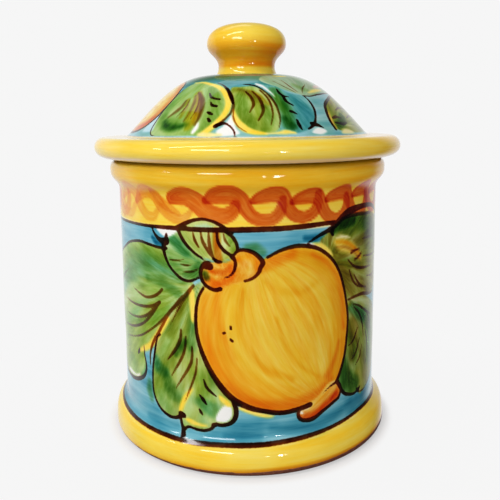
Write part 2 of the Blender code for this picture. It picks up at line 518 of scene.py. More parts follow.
class View:
    """A canvas as the painter of one motif sees it, with the motif's own zero in front."""

    def __init__(self, canvas: Canvas, turn: float, sway: float, seed: int) -> None:
        """Turns the canvas.

        Args:
            canvas: The surface that is painted.
            turn: Place on the chart that comes to the front.
            sway: How far the hand strays from the pattern, in millimetres.
            seed: Number of the pattern that it strays by.
        """
        self.canvas = canvas
        local = canvas.chart.copy()
        local[:, 0] = (local[:, 0] - turn + canvas.span / 2) % canvas.span - canvas.span / 2
        if sway:
            for axis in (0, 1):
                stray = noise(canvas.place / 16.0, seed + axis) - 0.5
                local[:, axis] += 2.0 * sway * stray * canvas.reach[axis]
        self.chart = local
        self.place = canvas.lift(local)

    def near(self, marks: np.ndarray, margin: float) -> np.ndarray:
        """Vertices within a margin in millimetres of the box round some marks."""
        pad = margin * self.canvas.reach
        low, high = marks.min(axis=0) - pad, marks.max(axis=0) + pad
        inside = (self.chart >= low) & (self.chart <= high)
        return np.flatnonzero(inside[:, 0] & inside[:, 1])

    def measure(self, marks: np.ndarray, margin: float) -> tuple[np.ndarray, np.ndarray, np.ndarray]:
        """Measures from the vertices to a drawn curve.

        Args:
            marks: Points of the curve on the chart.
            margin: How far from the curve's box vertices are taken.

        Returns:
            The vertices, their distance to the curve in millimetres, and how far along it the
            nearest point is, from 0 to 1.
        """
        index = self.near(marks, margin)
        line = self.canvas.lift(marks)
        start, run = line[:-1], np.diff(line, axis=0)
        length = np.maximum((run ** 2).sum(axis=1), 1e-9)
        travelled = arc_length(line)
        distance = np.empty(len(index))
        along = np.empty(len(index))
        for first in range(0, len(index), VERTICES_AT_ONCE):
            part = slice(first, first + VERTICES_AT_ONCE)
            place = self.place[index[part]]
            offset = place[:, None, :] - start[None, :, :]
            share = np.clip((offset * run[None]).sum(axis=2) / length, 0.0, 1.0)
            gap = ((offset - share[..., None] * run[None]) ** 2).sum(axis=2)
            best = gap.argmin(axis=1)
            rows = np.arange(len(best))
            distance[part] = np.sqrt(gap[rows, best])
            along[part] = (travelled[best] + share[rows, best] * np.sqrt(length[best])) / travelled[-1]
        return index, distance, along

    def field(self, outline: np.ndarray, margin: float) -> tuple[np.ndarray, np.ndarray]:
        """Measures from the vertices to the edge of an outlined field.

        Args:
            outline: Closed outline on the chart.
            margin: How far outside the outline vertices are taken.

        Returns:
            The vertices and their distance to the outline in millimetres, negative inside.
        """
        index, distance, _ = self.measure(outline, margin)
        x, y = self.chart[index, 0], self.chart[index, 1]
        inside = np.zeros(len(index), bool)
        for (x0, y0), (x1, y1) in zip(outline, outline[1:]):
            if y0 != y1:
                crossing = (y0 > y) != (y1 > y)
                inside ^= crossing & (x < (x1 - x0) * (y - y0) / (y1 - y0) + x0)
        return index, np.where(inside, -distance, distance)


@dataclass(frozen=True)
class Stroke:
    """One pull of a loaded brush: its marks and its width at even stations along them."""

    marks: Path
    widths: tuple[float, ...] = (1.2,)

    def spread(self, view: View, margin: float) -> tuple[np.ndarray, np.ndarray, np.ndarray]:
        """Vertices near the stroke, their distance to its edge (negative inside) and place along it."""
        curve = flowing(self.marks)
        index, distance, along = view.measure(curve, margin + max(self.widths))
        stations = np.linspace(0.0, 1.0, len(self.widths)) if len(self.widths) > 1 else (0.0,)
        return index, distance - np.interp(along, stations, self.widths) / 2, along

    def draw(self, view: View, layer: np.ndarray) -> None:
        """Draws the stroke as a line of the layer, which holds distances to the nearest line's edge."""
        index, edge, _ = self.spread(view, LINE_REACH)
        layer[index] = np.minimum(layer[index], edge)


def strokes(*rows: tuple[Path, tuple[float, ...]]) -> tuple[Stroke, ...]:
    """Strokes from pairs of marks and widths."""
    return tuple(Stroke(marks, widths) for marks, widths in rows)


@dataclass(frozen=True)
class Dab:
    """A broad translucent stroke of one pigment."""

    paint: Paint
    marks: Path
    widths: tuple[float, ...] = (4.0,)
    strength: float = 0.6
    soft: float = 1.2
    hairy: bool = False

    def lay(self, view: View, within: np.ndarray | None = None) -> None:
        """Adds the pigment.

        Args:
            view: The canvas from the motif.
            within: How much each vertex of the canvas takes, 0 to 1, or None for all.
        """
        canvas = view.canvas
        index, edge, along = Stroke(self.marks, self.widths).spread(view, self.soft)
        cover = within_edge(edge, self.soft) * self.strength
        grain = noise(np.stack([edge / 1.3, along * 2.5, np.full(len(index), 7.0)], axis=1), len(self.marks))
        cover *= 0.72 + 0.56 * grain
        if self.hairy:
            core = edge < 0.0
            number = np.full(core.sum(), self.marks[0][0] * 1.7)
            canvas.brush[index[core]] = np.stack([edge[core] * 1.1, along[core] * 2.2, number], axis=1)
        if within is not None:
            cover *= within[index]
        canvas.wash[index] += cover[:, None] * self.paint.thickness


@dataclass(frozen=True)
class Sliver:
    """A small field left white under the line work, or filled with one flat pigment."""

    outline: Path
    paint: Paint | None = None
    strength: float = 1.0
    soft: float = 0.5

    def lay(self, view: View) -> None:
        """Wipes the field clean and fills it."""
        canvas = view.canvas
        index, edge = view.field(flowing(self.outline, closed=True), self.soft)
        cover = within_edge(edge, self.soft)[:, None]
        canvas.wash[index] *= 1 - cover
        if self.paint is not None:
            canvas.wash[index] += cover * self.paint.thickness * self.strength


@dataclass(frozen=True)
class Tint:
    """A pigment that shows in streaks all over a field."""

    paint: Paint
    strength: float
    bare: float = 0.0
    width: float = 2.2


@dataclass(frozen=True)
class Field:
    """A leaf, lobe or fruit: an outlined field with its washes and its line work."""

    outline: Path
    flow: Flow
    heart: Pair
    tints: tuple[Tint, ...]
    dabs: tuple[Dab, ...] = ()
    lines: tuple[Stroke, ...] = ()
    veins: tuple[Stroke, ...] = ()
    halo: float = 0.35
    tip: Pair = (0.0, 0.0)

    def hairs(self, view: View, index: np.ndarray) -> np.ndarray:
        """Where each vertex lies across and along the hairs of the brush.

        Args:
            view: The canvas from the motif.
            index: The vertices.

        Returns:
            One point for each vertex: millimetres across, millimetres along, and the field's number.
        """
        heart = view.canvas.lift(np.array([self.heart]))[0]
        away = (view.chart[index] - np.array(self.heart)) / view.canvas.reach
        far = np.linalg.norm(view.place[index] - heart, axis=1)
        bearing = np.arctan2(away[:, 1], away[:, 0])
        number = np.full(len(index), abs(self.heart[0]) * 1.7 + self.heart[1] * 0.9)
        if self.flow is Flow.FAN:
            return np.stack([bearing * 16.0, far * 0.11, number], axis=1)
        if self.flow is Flow.RING:
            return np.stack([far * 0.9, bearing * 3.0, number], axis=1)
        top = view.chart[index] - np.array(self.heart)
        tip = view.chart[index] - np.array(self.tip)
        swing = np.arctan2(top[:, 0] * tip[:, 1] - top[:, 1] * tip[:, 0], (top * tip).sum(axis=1))
        swing = np.where(swing < 0.0, swing + math.tau, swing) - math.pi
        ratio = np.log((np.linalg.norm(top, axis=1) + 2.0) / (np.linalg.norm(tip, axis=1) + 2.0))
        return np.stack([swing * 8.0, ratio * 0.9, number], axis=1)

    def paint(self, view: View) -> None:
        """Wipes the ground away, lays the washes and draws the lines."""
        canvas = view.canvas
        index, edge = view.field(flowing(self.outline, closed=True), 2.5)
        cover = within_edge(edge, 0.45)
        halo = self.halo * smooth_step(1 - edge / 2.2) * noise(view.place[index] / 5.0, 91)
        canvas.wash[index] *= (1 - np.maximum(cover, halo))[:, None]
        hairs = self.hairs(view, index)
        inside = cover > 0.3
        canvas.brush[index[inside]] = hairs[inside]
        for number, tint in enumerate(self.tints):
            streak = noise(hairs * np.array((1 / tint.width, 1.0, 1.0)), 40 + number)
            amount = tint.strength * np.clip((streak - tint.bare) / (1 - tint.bare), 0.0, 1.0) * 1.7
            canvas.wash[index] += (cover * amount)[:, None] * tint.paint.thickness
        within = np.zeros(len(canvas.chart))
        within[index] = cover
        for dab in self.dabs:
            dab.lay(view, within)
        for stroke in self.lines:
            stroke.draw(view, canvas.line)
        for stroke in self.veins:
            stroke.draw(view, canvas.vein)


# Motif of the wall: one large fruit between leaves

OUTER_LEAF = Field(
    outline=((-33, 84), (-40, 84.6), (-47, 85), (-55, 83.5), (-62, 80.5), (-70, 77), (-78, 71), (-84, 63),
        (-86, 54), (-83, 45), (-78, 37), (-72, 30), (-66, 26.6), (-60, 26.3), (-54, 27), (-49, 29),
        (-46.3, 32.5), (-45.4, 36), (-46.4, 40), (-45, 43.5), (-40.5, 47), (-36, 51), (-31, 57), (-25, 65),
        (-20, 71.5), (-24, 75), (-29, 79)),
    flow=Flow.FAN, heart=(-18, 71),
    tints=(
        Tint(Paint.LIME, 0.3, -0.1, 2.4), Tint(Paint.LEAF, 0.2, 0.1, 1.2), Tint(Paint.MINT, 0.36, -0.1),
        Tint(Paint.OLIVE, 0.26, 0.45, 1.0), Tint(Paint.BLUE_GREEN, 0.2, 0.5, 1.6)),
    dabs=(
        Dab(Paint.AQUA, ((-26, 75), (-36, 77), (-46, 76), (-58, 71), (-68, 64)), (5, 8, 7), 0.52, 2.5),
        Dab(Paint.LEAF, ((-30, 80), (-42, 81.5), (-55, 79), (-66, 74)), (4, 5, 4), 0.3, 2.0),
        Dab(Paint.LIME, ((-34, 61), (-46, 52), (-60, 46), (-74, 45)), (5, 9, 9), 0.5, 3.0),
        Dab(Paint.LIME, ((-47, 43), (-56, 37), (-66, 33)), (6, 9, 8), 0.6, 3.0),
        Dab(Paint.YELLOW, ((-49, 41.5), (-44, 43.4), (-38.5, 48.7), (-34.5, 53.2), (-31, 57)),
            (1.2, 2.0, 1.8), 1.0, 0.5),
        Dab(Paint.DARK_GREEN, ((-27, 68), (-34, 71), (-42, 71.5)), (3, 4, 2), 0.35, 1.5),
        Dab(Paint.TEAL, ((-43, 38), (-45, 33), (-48, 30.5)), (3, 3.5, 2), 0.4, 1.5)),
    lines=strokes(
        (((-31.5, 84.2), (-36, 84.2), (-41, 84.7), (-47, 85.1), (-55, 83.6), (-62, 80.6), (-70, 77),
            (-78, 71), (-84, 63), (-86, 54), (-83.5, 45), (-78, 37), (-72, 30), (-66, 26.6)),
            (1.4, 1.3, 1.1, 1.2, 1.5, 1.3, 1.2)),
        (((-46.8, 43.5), (-46.4, 39.5), (-45.4, 35.5), (-46, 32.3), (-48.5, 29.5), (-54, 27), (-60, 26.2),
            (-67, 26.4)), (0.8, 1.4, 2.0, 1.8, 1.3)),
        (((-51.6, 38.8), (-50.6, 40.2), (-50.3, 41.3)), (1.4, 1.9, 0.9))),
    veins=strokes(
        (((-34.3, 68.4), (-36.5, 66.4), (-40, 64.6), (-45, 63.8), (-54, 65.6)), (1.5, 1.6, 1.2, 0.6)),
        (((-35.8, 63.2), (-40, 61), (-46, 59.6), (-54, 59), (-64, 59.2)), (1.7, 1.5, 1.2, 0.7)),
        (((-36.5, 62.4), (-41, 58.4), (-46, 55.5), (-53, 53.8), (-62, 53.4)), (1.6, 1.5, 1.2, 0.7)),
        (((-37.5, 61), (-42, 56), (-48, 51.8), (-56, 49), (-66, 47.4)), (1.4, 1.5, 1.3, 0.8)),
        (((-25, 67), (-30, 61.5), (-37, 54.6), (-46, 48.4), (-54, 45.2), (-63, 43)), (1.4, 1.3, 1.2, 0.7)),
        (((-38.8, 48.8), (-41, 45), (-42.4, 41), (-42.6, 36.5)), (1.6, 1.5, 0.9)),
        (((-58, 72), (-66, 68), (-74, 61)), (0.7, 1.2, 0.6)),
        (((-68, 55), (-75, 53), (-81, 50)), (0.7, 1.2, 0.6)),
        (((-64, 37.5), (-70, 36.8), (-76, 37)), (0.6, 1.1, 0.6))))

LOWER_LEAF = Field(
    outline=((-19, 72), (-25, 66.5), (-31, 60), (-35, 54), (-38, 49.5), (-39.5, 43), (-40.8, 37),
        (-41.3, 30), (-40.8, 25.5), (-39, 22), (-36, 19.5), (-32, 18.2), (-29, 18.8), (-26.8, 17.5),
        (-25.6, 14), (-23.5, 15.9), (-20, 15.5), (-17, 15.6), (-14.5, 16.6), (-12.5, 18.6), (-9.5, 18.6),
        (-6.5, 20), (-5, 22.5), (-5, 25.5), (-6, 29), (-10, 35), (-12, 50), (-14, 72)),
    flow=Flow.FAN, heart=(-17, 74),
    tints=(
        Tint(Paint.LIME, 0.22, -0.1, 2.6), Tint(Paint.LEAF, 0.16, 0.1), Tint(Paint.MINT, 0.24, 0.0, 2.2),
        Tint(Paint.OLIVE, 0.36, 0.3, 1.3), Tint(Paint.BLUE_GREEN, 0.2, 0.5, 1.5),
        Tint(Paint.DARK_GREEN, 0.14, 0.55, 3.2)),
    dabs=(
        Dab(Paint.LEAF, ((-29, 54), (-34, 45), (-37, 34), (-34, 23)), (4, 6, 8, 7), 0.35, 2.5),
        Dab(Paint.DARK_GREEN, ((-33, 33), (-31.5, 29.5), (-29, 27)), (4, 6, 4), 0.5, 2.0),
        Dab(Paint.DARK_GREEN, ((-24.5, 50), (-27, 46.5), (-28.5, 44)), (2, 3, 1.5), 0.55, 1.0),
        Dab(Paint.DARK_GREEN, ((-19.5, 66), (-21, 57), (-22, 48)), (2.5, 4, 3), 0.3, 1.5),
        Dab(Paint.TEAL, ((-39.5, 40), (-37.5, 37), (-34, 36)), (3, 5, 3), 0.5, 1.8),
        Dab(Paint.AQUA, ((-19, 27), (-13, 24), (-9, 22)), (3, 6, 5), 0.5, 1.5),
        Dab(Paint.LIME, ((-22, 40), (-18, 33), (-15, 24)), (4, 7, 6), 0.25, 2.0),
        Dab(Paint.OLIVE, ((-22, 70), (-27, 60), (-31, 52)), (3, 4, 4), 0.4, 1.6)),
    lines=strokes(
        (((-36.2, 50.5), (-38, 48.5), (-39.5, 43), (-40.8, 37), (-41.3, 30), (-40.8, 25.5), (-39, 22),
            (-36, 19.5), (-32, 18.2), (-29, 18.6), (-26.6, 20)), (1.2, 1.4, 1.3, 1.3, 1.5, 1.8)),
        (((-26.9, 20.6), (-25.6, 20.2)), (2.6, 2.4)),
        (((-27, 19.5), (-26.6, 16.5), (-25.4, 12.6)), (1.3, 1.6, 2.4)),
        (((-25.9, 14), (-23.7, 16), (-20, 15.6), (-17, 15.7), (-14.5, 16.7), (-12.6, 18.5), (-9.6, 18.7),
            (-6.6, 20), (-5.1, 22.4), (-5, 25.4), (-6, 28.8)), (1.5, 1.3, 1.5, 1.6, 1.9, 2.2, 2.0)),
        (((-13.4, 18.3), (-12.2, 18.8)), (2.2, 1.9)),
        (((-18.8, 29.8), (-17.6, 28.4), (-16, 26.2)), (0.8, 1.9, 0.8)),
        (((-19, 24), (-18.4, 23), (-17.6, 21.8)), (1.0, 1.6, 0.7)),
        (((-17, 36), (-16, 33.2), (-14.2, 31.4), (-12.3, 30)), (0.9, 1.5, 1.4, 0.8))),
    veins=strokes(
        (((-20.3, 71.5), (-25, 66.3), (-31, 60), (-35, 54), (-38, 49.5)), (1.5, 1.7, 1.5, 1.6)),
        (((-21.5, 69.5), (-26.5, 62.5), (-31, 55)), (1.0, 1.2, 0.6)),
        (((-26, 54.2), (-26.4, 50.5), (-28.5, 46.3), (-32.8, 41)), (1.2, 1.9, 1.7, 0.8)),
        (((-24, 51.8), (-24.5, 47.3), (-26.2, 42.8), (-31, 35)), (1.0, 1.5, 1.4, 0.8)),
        (((-21.5, 48.2), (-21.5, 44.8), (-22.8, 40.2), (-29, 30.5)), (1.1, 1.6, 1.4, 0.8)),
        (((-19.5, 44), (-20.3, 38), (-22.5, 32), (-25, 26)), (0.9, 1.3, 1.2, 0.6))))

RIGHT_LEAF = Field(
    outline=((27, 86.5), (32, 90.4), (37, 93.4), (44, 94.9), (54, 94.6), (62, 93.4), (70, 90), (76, 84),
        (78, 75), (75, 67), (68, 62), (60, 60.5), (50, 62.6), (42, 62), (38, 68), (34, 76), (30, 81)),
    flow=Flow.FAN, heart=(30, 79),
    tints=(
        Tint(Paint.LEAF, 0.22, -0.4), Tint(Paint.OLIVE, 0.55, -0.2), Tint(Paint.BLUE_GREEN, 0.2, 0.5, 3.5),
        Tint(Paint.BROWN, 0.22, 0.45, 1.2)),
    dabs=(
        Dab(Paint.DARK_GREEN, ((33.5, 90.6), (38, 92.3), (44, 92.6)), (3.4, 4.6, 3.4), 0.95, 1.2),
        Dab(Paint.LEAF, ((40, 90), (50, 91), (58, 89), (70, 83)), (6, 6, 8, 8), 0.6, 2.0),
        Dab(Paint.BLUE_GREEN, ((46, 92.6), (56, 90), (66, 85)), (3, 5, 5), 0.35, 2.5),
        Dab(Paint.OLIVE, ((35, 82), (39, 74), (44, 66)), (7, 9, 6), 0.4, 2.0),
        Dab(Paint.BROWN, ((37, 76), (41, 70), (45, 66)), (3, 6, 4), 0.18, 2.0),
        Dab(Paint.MINT, ((50, 86), (60, 82), (70, 76)), (6, 9, 8), 0.3, 3.0)),
    lines=strokes(
        (((22, 86.6), (27, 89), (31, 90.4), (34.4, 92), (37.4, 94.2), (41.6, 96.1), (47, 97), (54, 97.2),
            (61, 96.4), (68, 93.6), (74, 88), (77, 80), (76, 70)),
            (1.0, 2.2, 3.4, 2.2, 1.8, 1.6, 1.3, 1.2)),
        (((33, 88.4), (32.6, 90), (34, 91.8)), (1.4, 2.2, 2.0))),
    veins=strokes(
        (((37.5, 93.8), (43, 94.6), (50, 94.4), (60, 93.6)), (1.8, 1.9, 1.7, 1.2)),
        (((41.4, 78), (46, 74.6), (53, 72.8), (62, 72)), (0.9, 1.5, 1.4, 0.7)),
        (((43, 80), (45.4, 80.6), (48.4, 80.8)), (0.8, 1.2, 0.8)),
        (((46.6, 77.2), (49, 78), (51.4, 79.6)), (0.8, 1.2, 0.7)),
        (((45.6, 71.6), (48.4, 68), (52, 65.6), (57, 64)), (0.8, 1.4, 1.2, 0.7)),
        (((42.4, 74), (44.4, 70), (47.5, 67), (52, 65)), (0.8, 1.4, 1.2, 0.7)),
        (((42, 62.3), (47, 62.6), (53, 62.3), (60, 60.6), (67, 60)), (1.2, 1.6, 1.7, 1.4, 1.0)),
        (((53, 77.5), (61, 76.4), (70, 76)), (0.8, 1.3, 0.7)),
        (((52, 84.5), (61, 84), (69, 83)), (0.7, 1.2, 0.7)),
        (((57, 68.6), (64, 67.6), (71, 68)), (0.7, 1.2, 0.6))))

RIGHT_LOWER_LEAF = Field(
    outline=((40, 62), (46, 62.6), (52, 62.3), (58, 59.6), (66, 55), (73, 47), (74, 38), (70, 29.5),
        (64, 24), (57, 21.6), (52, 20.4), (50, 22.2), (46, 22.2), (41, 24), (38.5, 26.5), (35, 32),
        (38, 45)),
    flow=Flow.FAN, heart=(38, 66),
    tints=(
        Tint(Paint.LEAF, 0.28, -0.2), Tint(Paint.OLIVE, 0.42, 0.0), Tint(Paint.BLUE_GREEN, 0.22, 0.4, 3.5),
        Tint(Paint.BROWN, 0.2, 0.45, 1.2)),
    dabs=(
        Dab(Paint.DARK_GREEN, ((39.6, 37), (41.6, 30), (47, 26)), (4, 8, 7), 0.6, 2.0),
        Dab(Paint.BLUE_GREEN, ((43.6, 59), (48, 56.5), (54, 52.5)), (3, 5, 4), 0.7, 1.6),
        Dab(Paint.BLUE_GREEN, ((55, 53), (62, 45), (62, 33)), (5, 9, 7), 0.35, 2.5),
        Dab(Paint.OLIVE, ((43.4, 52), (45.6, 46), (46.6, 39)), (4, 6, 5), 0.6, 1.8),
        Dab(Paint.YELLOW, ((41.8, 60.6), (43.4, 60)), (1.6, 1.2), 0.8, 0.6)),
    lines=strokes(
        (((35.8, 31.2), (38.6, 26.8), (41, 24.2), (46, 22.4), (49.4, 22.4)), (1.5, 1.8, 1.6, 1.3)),
        (((49, 23.4), (50.4, 22.6), (51.6, 23.4)), (1.3, 2.4, 1.4))),
    veins=strokes(
        (((45, 60), (50, 58), (57, 54), (64, 50.6)), (0.8, 1.3, 1.2, 0.7)),
        (((45.6, 58.6), (50, 55), (53, 50), (54.6, 44)), (0.8, 1.5, 1.3, 0.7)),
        (((42.6, 43.6), (46, 45), (49, 49.4)), (0.8, 1.4, 0.9)),
        (((44.6, 37), (48, 39.2), (50.8, 44.4)), (0.8, 1.5, 0.9)),
        (((48, 34), (51.4, 36.6), (53, 41)), (0.8, 1.3, 0.8)),
        (((50.4, 21.6), (56, 21), (64, 24), (70, 29.5), (74, 38), (73, 47), (66, 55)),
            (1.0, 1.1, 1.0, 1.1)),
        (((56, 55), (62, 48), (64, 40)), (0.8, 1.3, 0.7)),
        (((56, 47), (59, 40), (58, 32)), (0.7, 1.2, 0.6))))

FRUIT = Field(
    outline=((-12, 71.5), (-16.5, 71.2), (-18.6, 67), (-19.6, 61), (-19.4, 54), (-17.8, 47.5), (-14.5, 40),
        (-10.5, 34), (-6, 29.3), (0, 26), (6, 24.2), (12, 23.1), (18, 23.6), (24, 25.4), (31, 27.4),
        (36.4, 31), (38.2, 34.5), (40.3, 40), (41.5, 47), (41.9, 55), (40.8, 62), (39, 68.5), (36.5, 74.5),
        (33, 79.3), (28.5, 83), (24, 85), (18, 85.9), (12, 84.8), (7, 82.5), (3, 81), (-3, 80), (-9, 76)),
    flow=Flow.MERIDIAN, heart=(2, 84), tip=(31, 24),
    tints=(
        Tint(Paint.GOLD, 0.44, -1.0, 1.6), Tint(Paint.YELLOW, 0.16, -1.0),
        Tint(Paint.OCHRE, 0.16, -0.2, 1.0), Tint(Paint.ORANGE, 0.1, 0.4, 0.6)),
    dabs=(
        Dab(Paint.ORANGE, ((-8, 74), (-13, 66), (-13.5, 56), (-11, 47), (-5, 38), (3, 31.5), (13, 28.3),
            (23, 28.5), (31, 32)), (6, 8, 9, 9, 8, 7), 0.15, 3.2),
        Dab(Paint.ORANGE, ((-16, 68), (-16.8, 60), (-16.2, 52), (-13, 43), (-7.5, 35), (0, 29), (9, 26.3),
            (20, 26.4), (29, 29)), (3, 4, 4.5, 5, 5), 0.19, 1.6),
        Dab(Paint.RUST, ((-8, 34.6), (-1, 28.6), (8, 25.9), (18, 25.8), (27, 28.4), (33, 32.5)),
            (1.6, 3.6, 4.4, 4, 2), 0.2, 1.6),
        Dab(Paint.ORANGE, ((-11, 77), (-4, 79), (2, 79.5), (8, 80.8), (16, 83)), (5, 6, 5, 3), 0.4, 2.0),
        Dab(Paint.ORANGE, ((-11, 73), (-11.4, 64), (-9.6, 55), (-5, 45)), (2, 3.4, 3, 1), 0.14, 1.4),
        Dab(Paint.OCHRE, ((17, 83.5), (26, 80.5), (33.5, 73), (37.5, 63), (38.6, 53), (37.4, 43),
            (33.6, 34)), (3, 6, 8, 9, 9, 8), 0.42, 2.6),
        Dab(Paint.ORANGE, ((24, 82.3), (31, 78), (36.2, 71), (38.8, 61), (39.5, 52)), (1.4, 2.2, 2.6, 2),
            0.32, 1.2),
        Dab(Paint.RUST, ((37, 47), (34.6, 40), (31, 34.5)), (1, 2.0, 2.4), 0.26, 1.0),
        Dab(Paint.OCHRE, ((-2, 70), (-4, 60), (-1, 50), (6, 41), (16, 36)), (2.4, 3, 3, 2.4), 0.24, 1.2),
        Dab(Paint.OCHRE, ((10, 60), (13, 50), (19, 41), (27, 35)), (1.2, 1.8, 1.4), 0.24, 0.8),
        Dab(Paint.OCHRE, ((6, 74), (12, 70), (20, 69), (26, 72)), (2, 3.4, 2), 0.2, 1.6)),
    lines=strokes(
        (((-16.4, 71), (-18.5, 67), (-19.6, 61), (-19.4, 54), (-17.8, 47.5), (-14.5, 40), (-10.5, 34),
            (-6, 29.3), (0, 26), (6, 24.3), (12, 23.2), (18, 23.6), (23.4, 24.6)),
            (1.3, 1.6, 1.7, 2.2, 2.6, 2.7, 2.2, 2.2, 2.4)),
        (((6.8, 82.4), (12, 84.8), (18, 85.9), (24, 85), (28.5, 83), (33, 79.3), (36.5, 74.5), (39, 68.5),
            (40.8, 62), (41.9, 55), (41.4, 47), (40.2, 40), (38, 34.5), (36, 30.8)),
            (1.3, 1.9, 1.7, 1.5, 1.5, 1.6, 1.7, 1.9)),
        (((-9.3, 54.5), (-8.7, 54.7)), (1.2, 1.3)),
        (((-6.5, 57.3), (-6.4, 56.3)), (1.1, 1.3)),
        (((-6.6, 52.3), (-5.9, 51.7)), (1.3, 1.3))),
    halo=0.0)

NUB = Field(
    outline=((18.2, 23), (18.6, 20.2), (21.5, 18.6), (25, 18.6), (29.5, 20.7), (34, 22.6), (37.2, 23.9),
        (38.4, 27), (36.4, 31), (32, 31.5), (27, 27.5), (23, 25.5)),
    flow=Flow.FAN, heart=(40, 34),
    tints=(
        Tint(Paint.OCHRE, 0.55), Tint(Paint.ORANGE, 0.35, 0.3)),
    dabs=(
        Dab(Paint.RUST, ((20, 20.5), (25, 20), (31, 23), (36, 25.6)), (3, 3.4, 3, 3), 0.65, 1.2),
        Dab(Paint.RUST, ((33, 25), (35.5, 27), (36.5, 29)), (1.5, 2, 1), 0.4, 0.8),
        Dab(Paint.YELLOW, ((24, 24.5), (28, 26.5), (32, 30)), (1.5, 2.5, 2), 0.4, 1.0)),
    lines=strokes(
        (((19, 23.4), (18.4, 21.6), (19.2, 19.6), (21.5, 18.6), (25, 18.7), (29.5, 20.8), (34, 22.7),
            (37, 23.9)), (1.6, 1.8, 2.2, 1.9, 1.7, 1.6)),
        (((36, 31), (37.8, 29), (38.4, 26.8), (37, 23.8)), (1.8, 1.5, 1.5)),
        (((29.5, 28), (32.2, 29.6), (35.6, 30.6)), (0.7, 1.0, 1.5))),
    halo=0.0)

TOP_LOBE = Field(
    outline=((-26.5, 92), (-23, 93.8), (-20, 95.2), (-16, 95.8), (-12, 95), (-8, 93), (-4.5, 89.5),
        (-3.6, 87), (-3.6, 85), (-5.5, 82.6), (-9.8, 80.8), (-14, 81.5), (-19, 83), (-22, 85.5),
        (-24.3, 88)),
    flow=Flow.FAN, heart=(-13, 79),
    tints=(
        Tint(Paint.LIME, 0.34, -0.6), Tint(Paint.MINT, 0.14, -0.2), Tint(Paint.OLIVE, 0.2, 0.3)),
    dabs=(
        Dab(Paint.LEAF, ((-25, 91), (-20, 86), (-16, 83.5)), (2.4, 3, 2), 0.25, 1.2),
        Dab(Paint.ORANGE, ((-11.2, 92), (-11, 86), (-10.4, 81)), (2.0, 2.6, 2.6), 0.9, 0.7),
        Dab(Paint.LEAF, ((-7, 91), (-5.5, 88), (-5, 85)), (2, 3.4, 2), 0.5, 1.0)),
    lines=strokes(
        (((-27.5, 92), (-23.5, 93.8), (-20, 95.2), (-16, 95.8), (-12, 95), (-8.5, 93.2), (-5.4, 91.4)),
            (1.6, 1.8, 1.5, 1.3, 1.6, 1.4)),
        (((-8.4, 92), (-5.6, 90), (-4, 87.4), (-3.6, 85)), (1.4, 1.6, 1.3)),
        (((-26.4, 92), (-24.4, 88.4), (-22, 85.6), (-19, 83.2), (-16.4, 81.7)), (1.6, 1.7, 1.3, 1.1)),
        (((-11, 91.8), (-10.6, 88), (-8.6, 85), (-6.6, 83.6), (-5.4, 82)), (1.1, 1.5, 1.6, 1.3)),
        (((-12.6, 82), (-11, 80.9), (-9.6, 80.8)), (1.2, 1.8, 1.4))),
    veins=strokes(
        (((-20, 91), (-19.4, 88.4), (-17.8, 85.6)), (0.8, 1.5, 0.9)),
        (((-17, 91.2), (-16.3, 88), (-13.5, 83)), (0.9, 1.7, 1.0)),
        (((-14, 91.6), (-13.8, 87), (-13, 83.4), (-11.6, 80.9)), (0.9, 1.6, 1.6, 1.2)),
        (((-8.6, 91), (-8, 88.6), (-6.4, 86.4)), (0.7, 1.3, 0.8))),
    halo=0.0)

SIDE_LOBE = Field(
    outline=((-32, 87.5), (-33, 85), (-32.5, 82), (-30.5, 78), (-28, 75.5), (-25, 73.5), (-22, 73),
        (-19, 74.2), (-17.4, 76), (-16.8, 79), (-14.6, 80.8), (-16, 82), (-19, 83.4), (-22, 85.8),
        (-24.3, 88.4), (-26.2, 91.4), (-28.6, 90.2)),
    flow=Flow.FAN, heart=(-15, 79),
    tints=(
        Tint(Paint.LEAF, 0.5), Tint(Paint.MINT, 0.5), Tint(Paint.BLUE_GREEN, 0.3, 0.45)),
    dabs=(
        Dab(Paint.BLUE_GREEN, ((-29, 88), (-26, 86), (-23, 83.5)), (3, 4, 3), 0.55, 1.4),
        Dab(Paint.DARK_GREEN, ((-18, 79), (-20, 76.5), (-23.5, 75)), (3, 3, 2), 0.4, 1.2),
        Dab(Paint.LEAF, ((-30, 80), (-26, 76.5), (-21, 75)), (2, 3, 2), 0.4, 1.2)),
    lines=strokes(
        (((-31.4, 87.6), (-32.9, 85), (-32.5, 82), (-30.6, 78.2), (-28, 75.6), (-25, 73.6), (-22, 73.1),
            (-19.4, 74), (-17.6, 75.2)), (2.6, 2.0, 1.4, 1.3, 1.5, 1.4, 1.0)),
        (((-38.4, 90.4), (-36.6, 88.4), (-34.4, 87), (-31.6, 86.8)), (1.0, 1.6, 2.4, 3.2)),
        (((-31.4, 89.4), (-31.6, 87)), (1.4, 2.8))),
    veins=strokes(
        (((-30, 80.2), (-27, 80.3), (-24, 80.8)), (0.8, 1.1, 0.7)),
        (((-25.5, 79.1), (-23, 78.8), (-20.4, 79.3)), (0.8, 1.1, 0.7)),
        (((-24.6, 76.4), (-21, 76.6), (-18, 78)), (0.8, 1.3, 0.9))),
    halo=0.0)

